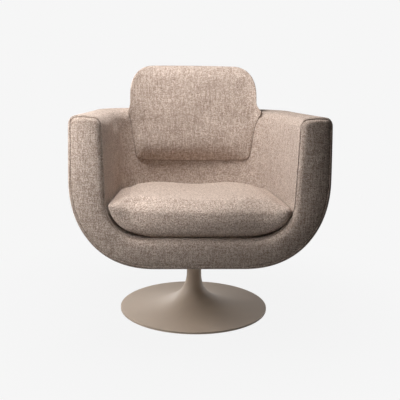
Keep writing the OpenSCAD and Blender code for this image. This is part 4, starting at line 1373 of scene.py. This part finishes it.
def pale_world():
    """The same pale ground all round to the camera, which gives the chair hardly any light."""
    world = bpy.data.worlds.new("studio_world")
    world.use_nodes = True
    world.node_tree.nodes.clear()
    n = Nodes(world)
    both = n.add("ShaderNodeMixShader", {0: n.seen_rays(), 1: n.glow("ShaderNodeBackground", SKY_LIGHT),
                                         2: n.glow("ShaderNodeBackground", BACKDROP)})
    n.add("ShaderNodeOutputWorld", {"Surface": both.outputs[0]})
    return world


def area_light(name, place, width, power):
    data = bpy.data.lights.new(name, "AREA")
    data.size, data.energy = width, power
    lamp = bpy.data.objects.new(name, data)
    bpy.context.scene.collection.objects.link(lamp)
    lamp.location = place
    way = Vector(LAMP_AIM) - Vector(place)
    lamp.rotation_euler = way.to_track_quat("-Z", "Y").to_euler()
    lamp.visible_camera = False


def studio_camera():
    yaw, pitch, roll = CAMERA_TURN
    ahead = Vector((-math.sin(yaw) * math.cos(pitch), math.cos(yaw) * math.cos(pitch),
                    -math.sin(pitch)))
    right = Vector((math.cos(yaw), math.sin(yaw), 0))
    up = right.cross(ahead)
    across = math.cos(roll) * right + math.sin(roll) * up
    above = math.cos(roll) * up - math.sin(roll) * right
    data = bpy.data.cameras.new("studio_camera")
    data.sensor_width, data.lens, data.clip_end = SENSOR, LENS, 60
    camera = bpy.data.objects.new("studio_camera", data)
    bpy.context.scene.collection.objects.link(camera)
    turn = Matrix((across, above, -ahead)).transposed().to_4x4()
    camera.matrix_world = Matrix.Translation(CAMERA) @ turn
    return camera


class CHAIR_OT_stage(bpy.types.Operator):
    """Set the pale floor, the lamps and the camera"""
    bl_idname = "chair.stage"
    bl_label = "Stage"

    def execute(self, context):
        scene = context.scene
        scene.camera = studio_camera()
        scene.world = pale_world()
        ends = (-FLOOR_HALF, FLOOR_HALF)
        ground = Skin()
        ground.grid([np.array([[x, y, 0.0] for x in ends]) for y in ends])
        floor = ground.piece("studio_floor")
        floor.data.materials.append(pale_floor())
        for name, lamp in LAMPS.items():
            area_light(name, *lamp)
        scene.view_settings.view_transform = "Standard"
        return {"FINISHED"}


STEPS = (CHAIR_OT_stage, CHAIR_OT_cover, CHAIR_OT_front, CHAIR_OT_seams, CHAIR_OT_back,
         CHAIR_OT_cushion, CHAIR_OT_padding, CHAIR_OT_timber, CHAIR_OT_pedestal)


class CHAIR_PT_panel(bpy.types.Panel):
    """The armchair's sizes, finishes and making steps"""
    bl_idname = "CHAIR_PT_panel"
    bl_label = "Armchair"
    bl_space_type = "VIEW_3D"
    bl_region_type = "UI"
    bl_category = "Armchair"

    def draw(self, context):
        for group in (context.scene.chair_sizes, context.scene.chair_finish):
            box = self.layout.box()
            for name in group.__annotations__:
                box.prop(group, name)
        for step in STEPS:
            self.layout.operator(step.bl_idname)


CLASSES = (ChairSizes, ChairFinish) + STEPS + (CHAIR_PT_panel,)


def register():
    for c in CLASSES:
        bpy.utils.register_class(c)
    bpy.types.Scene.chair_sizes = bpy.props.PointerProperty(type=ChairSizes)
    bpy.types.Scene.chair_finish = bpy.props.PointerProperty(type=ChairFinish)


def unregister():
    del bpy.types.Scene.chair_finish
    del bpy.types.Scene.chair_sizes
    for c in reversed(CLASSES):
        bpy.utils.unregister_class(c)


def main():
    register()
    for step in STEPS:
        group, name = step.bl_idname.split(".")
        getattr(getattr(bpy.ops, group), name)()


if __name__ == "__main__":
    main()
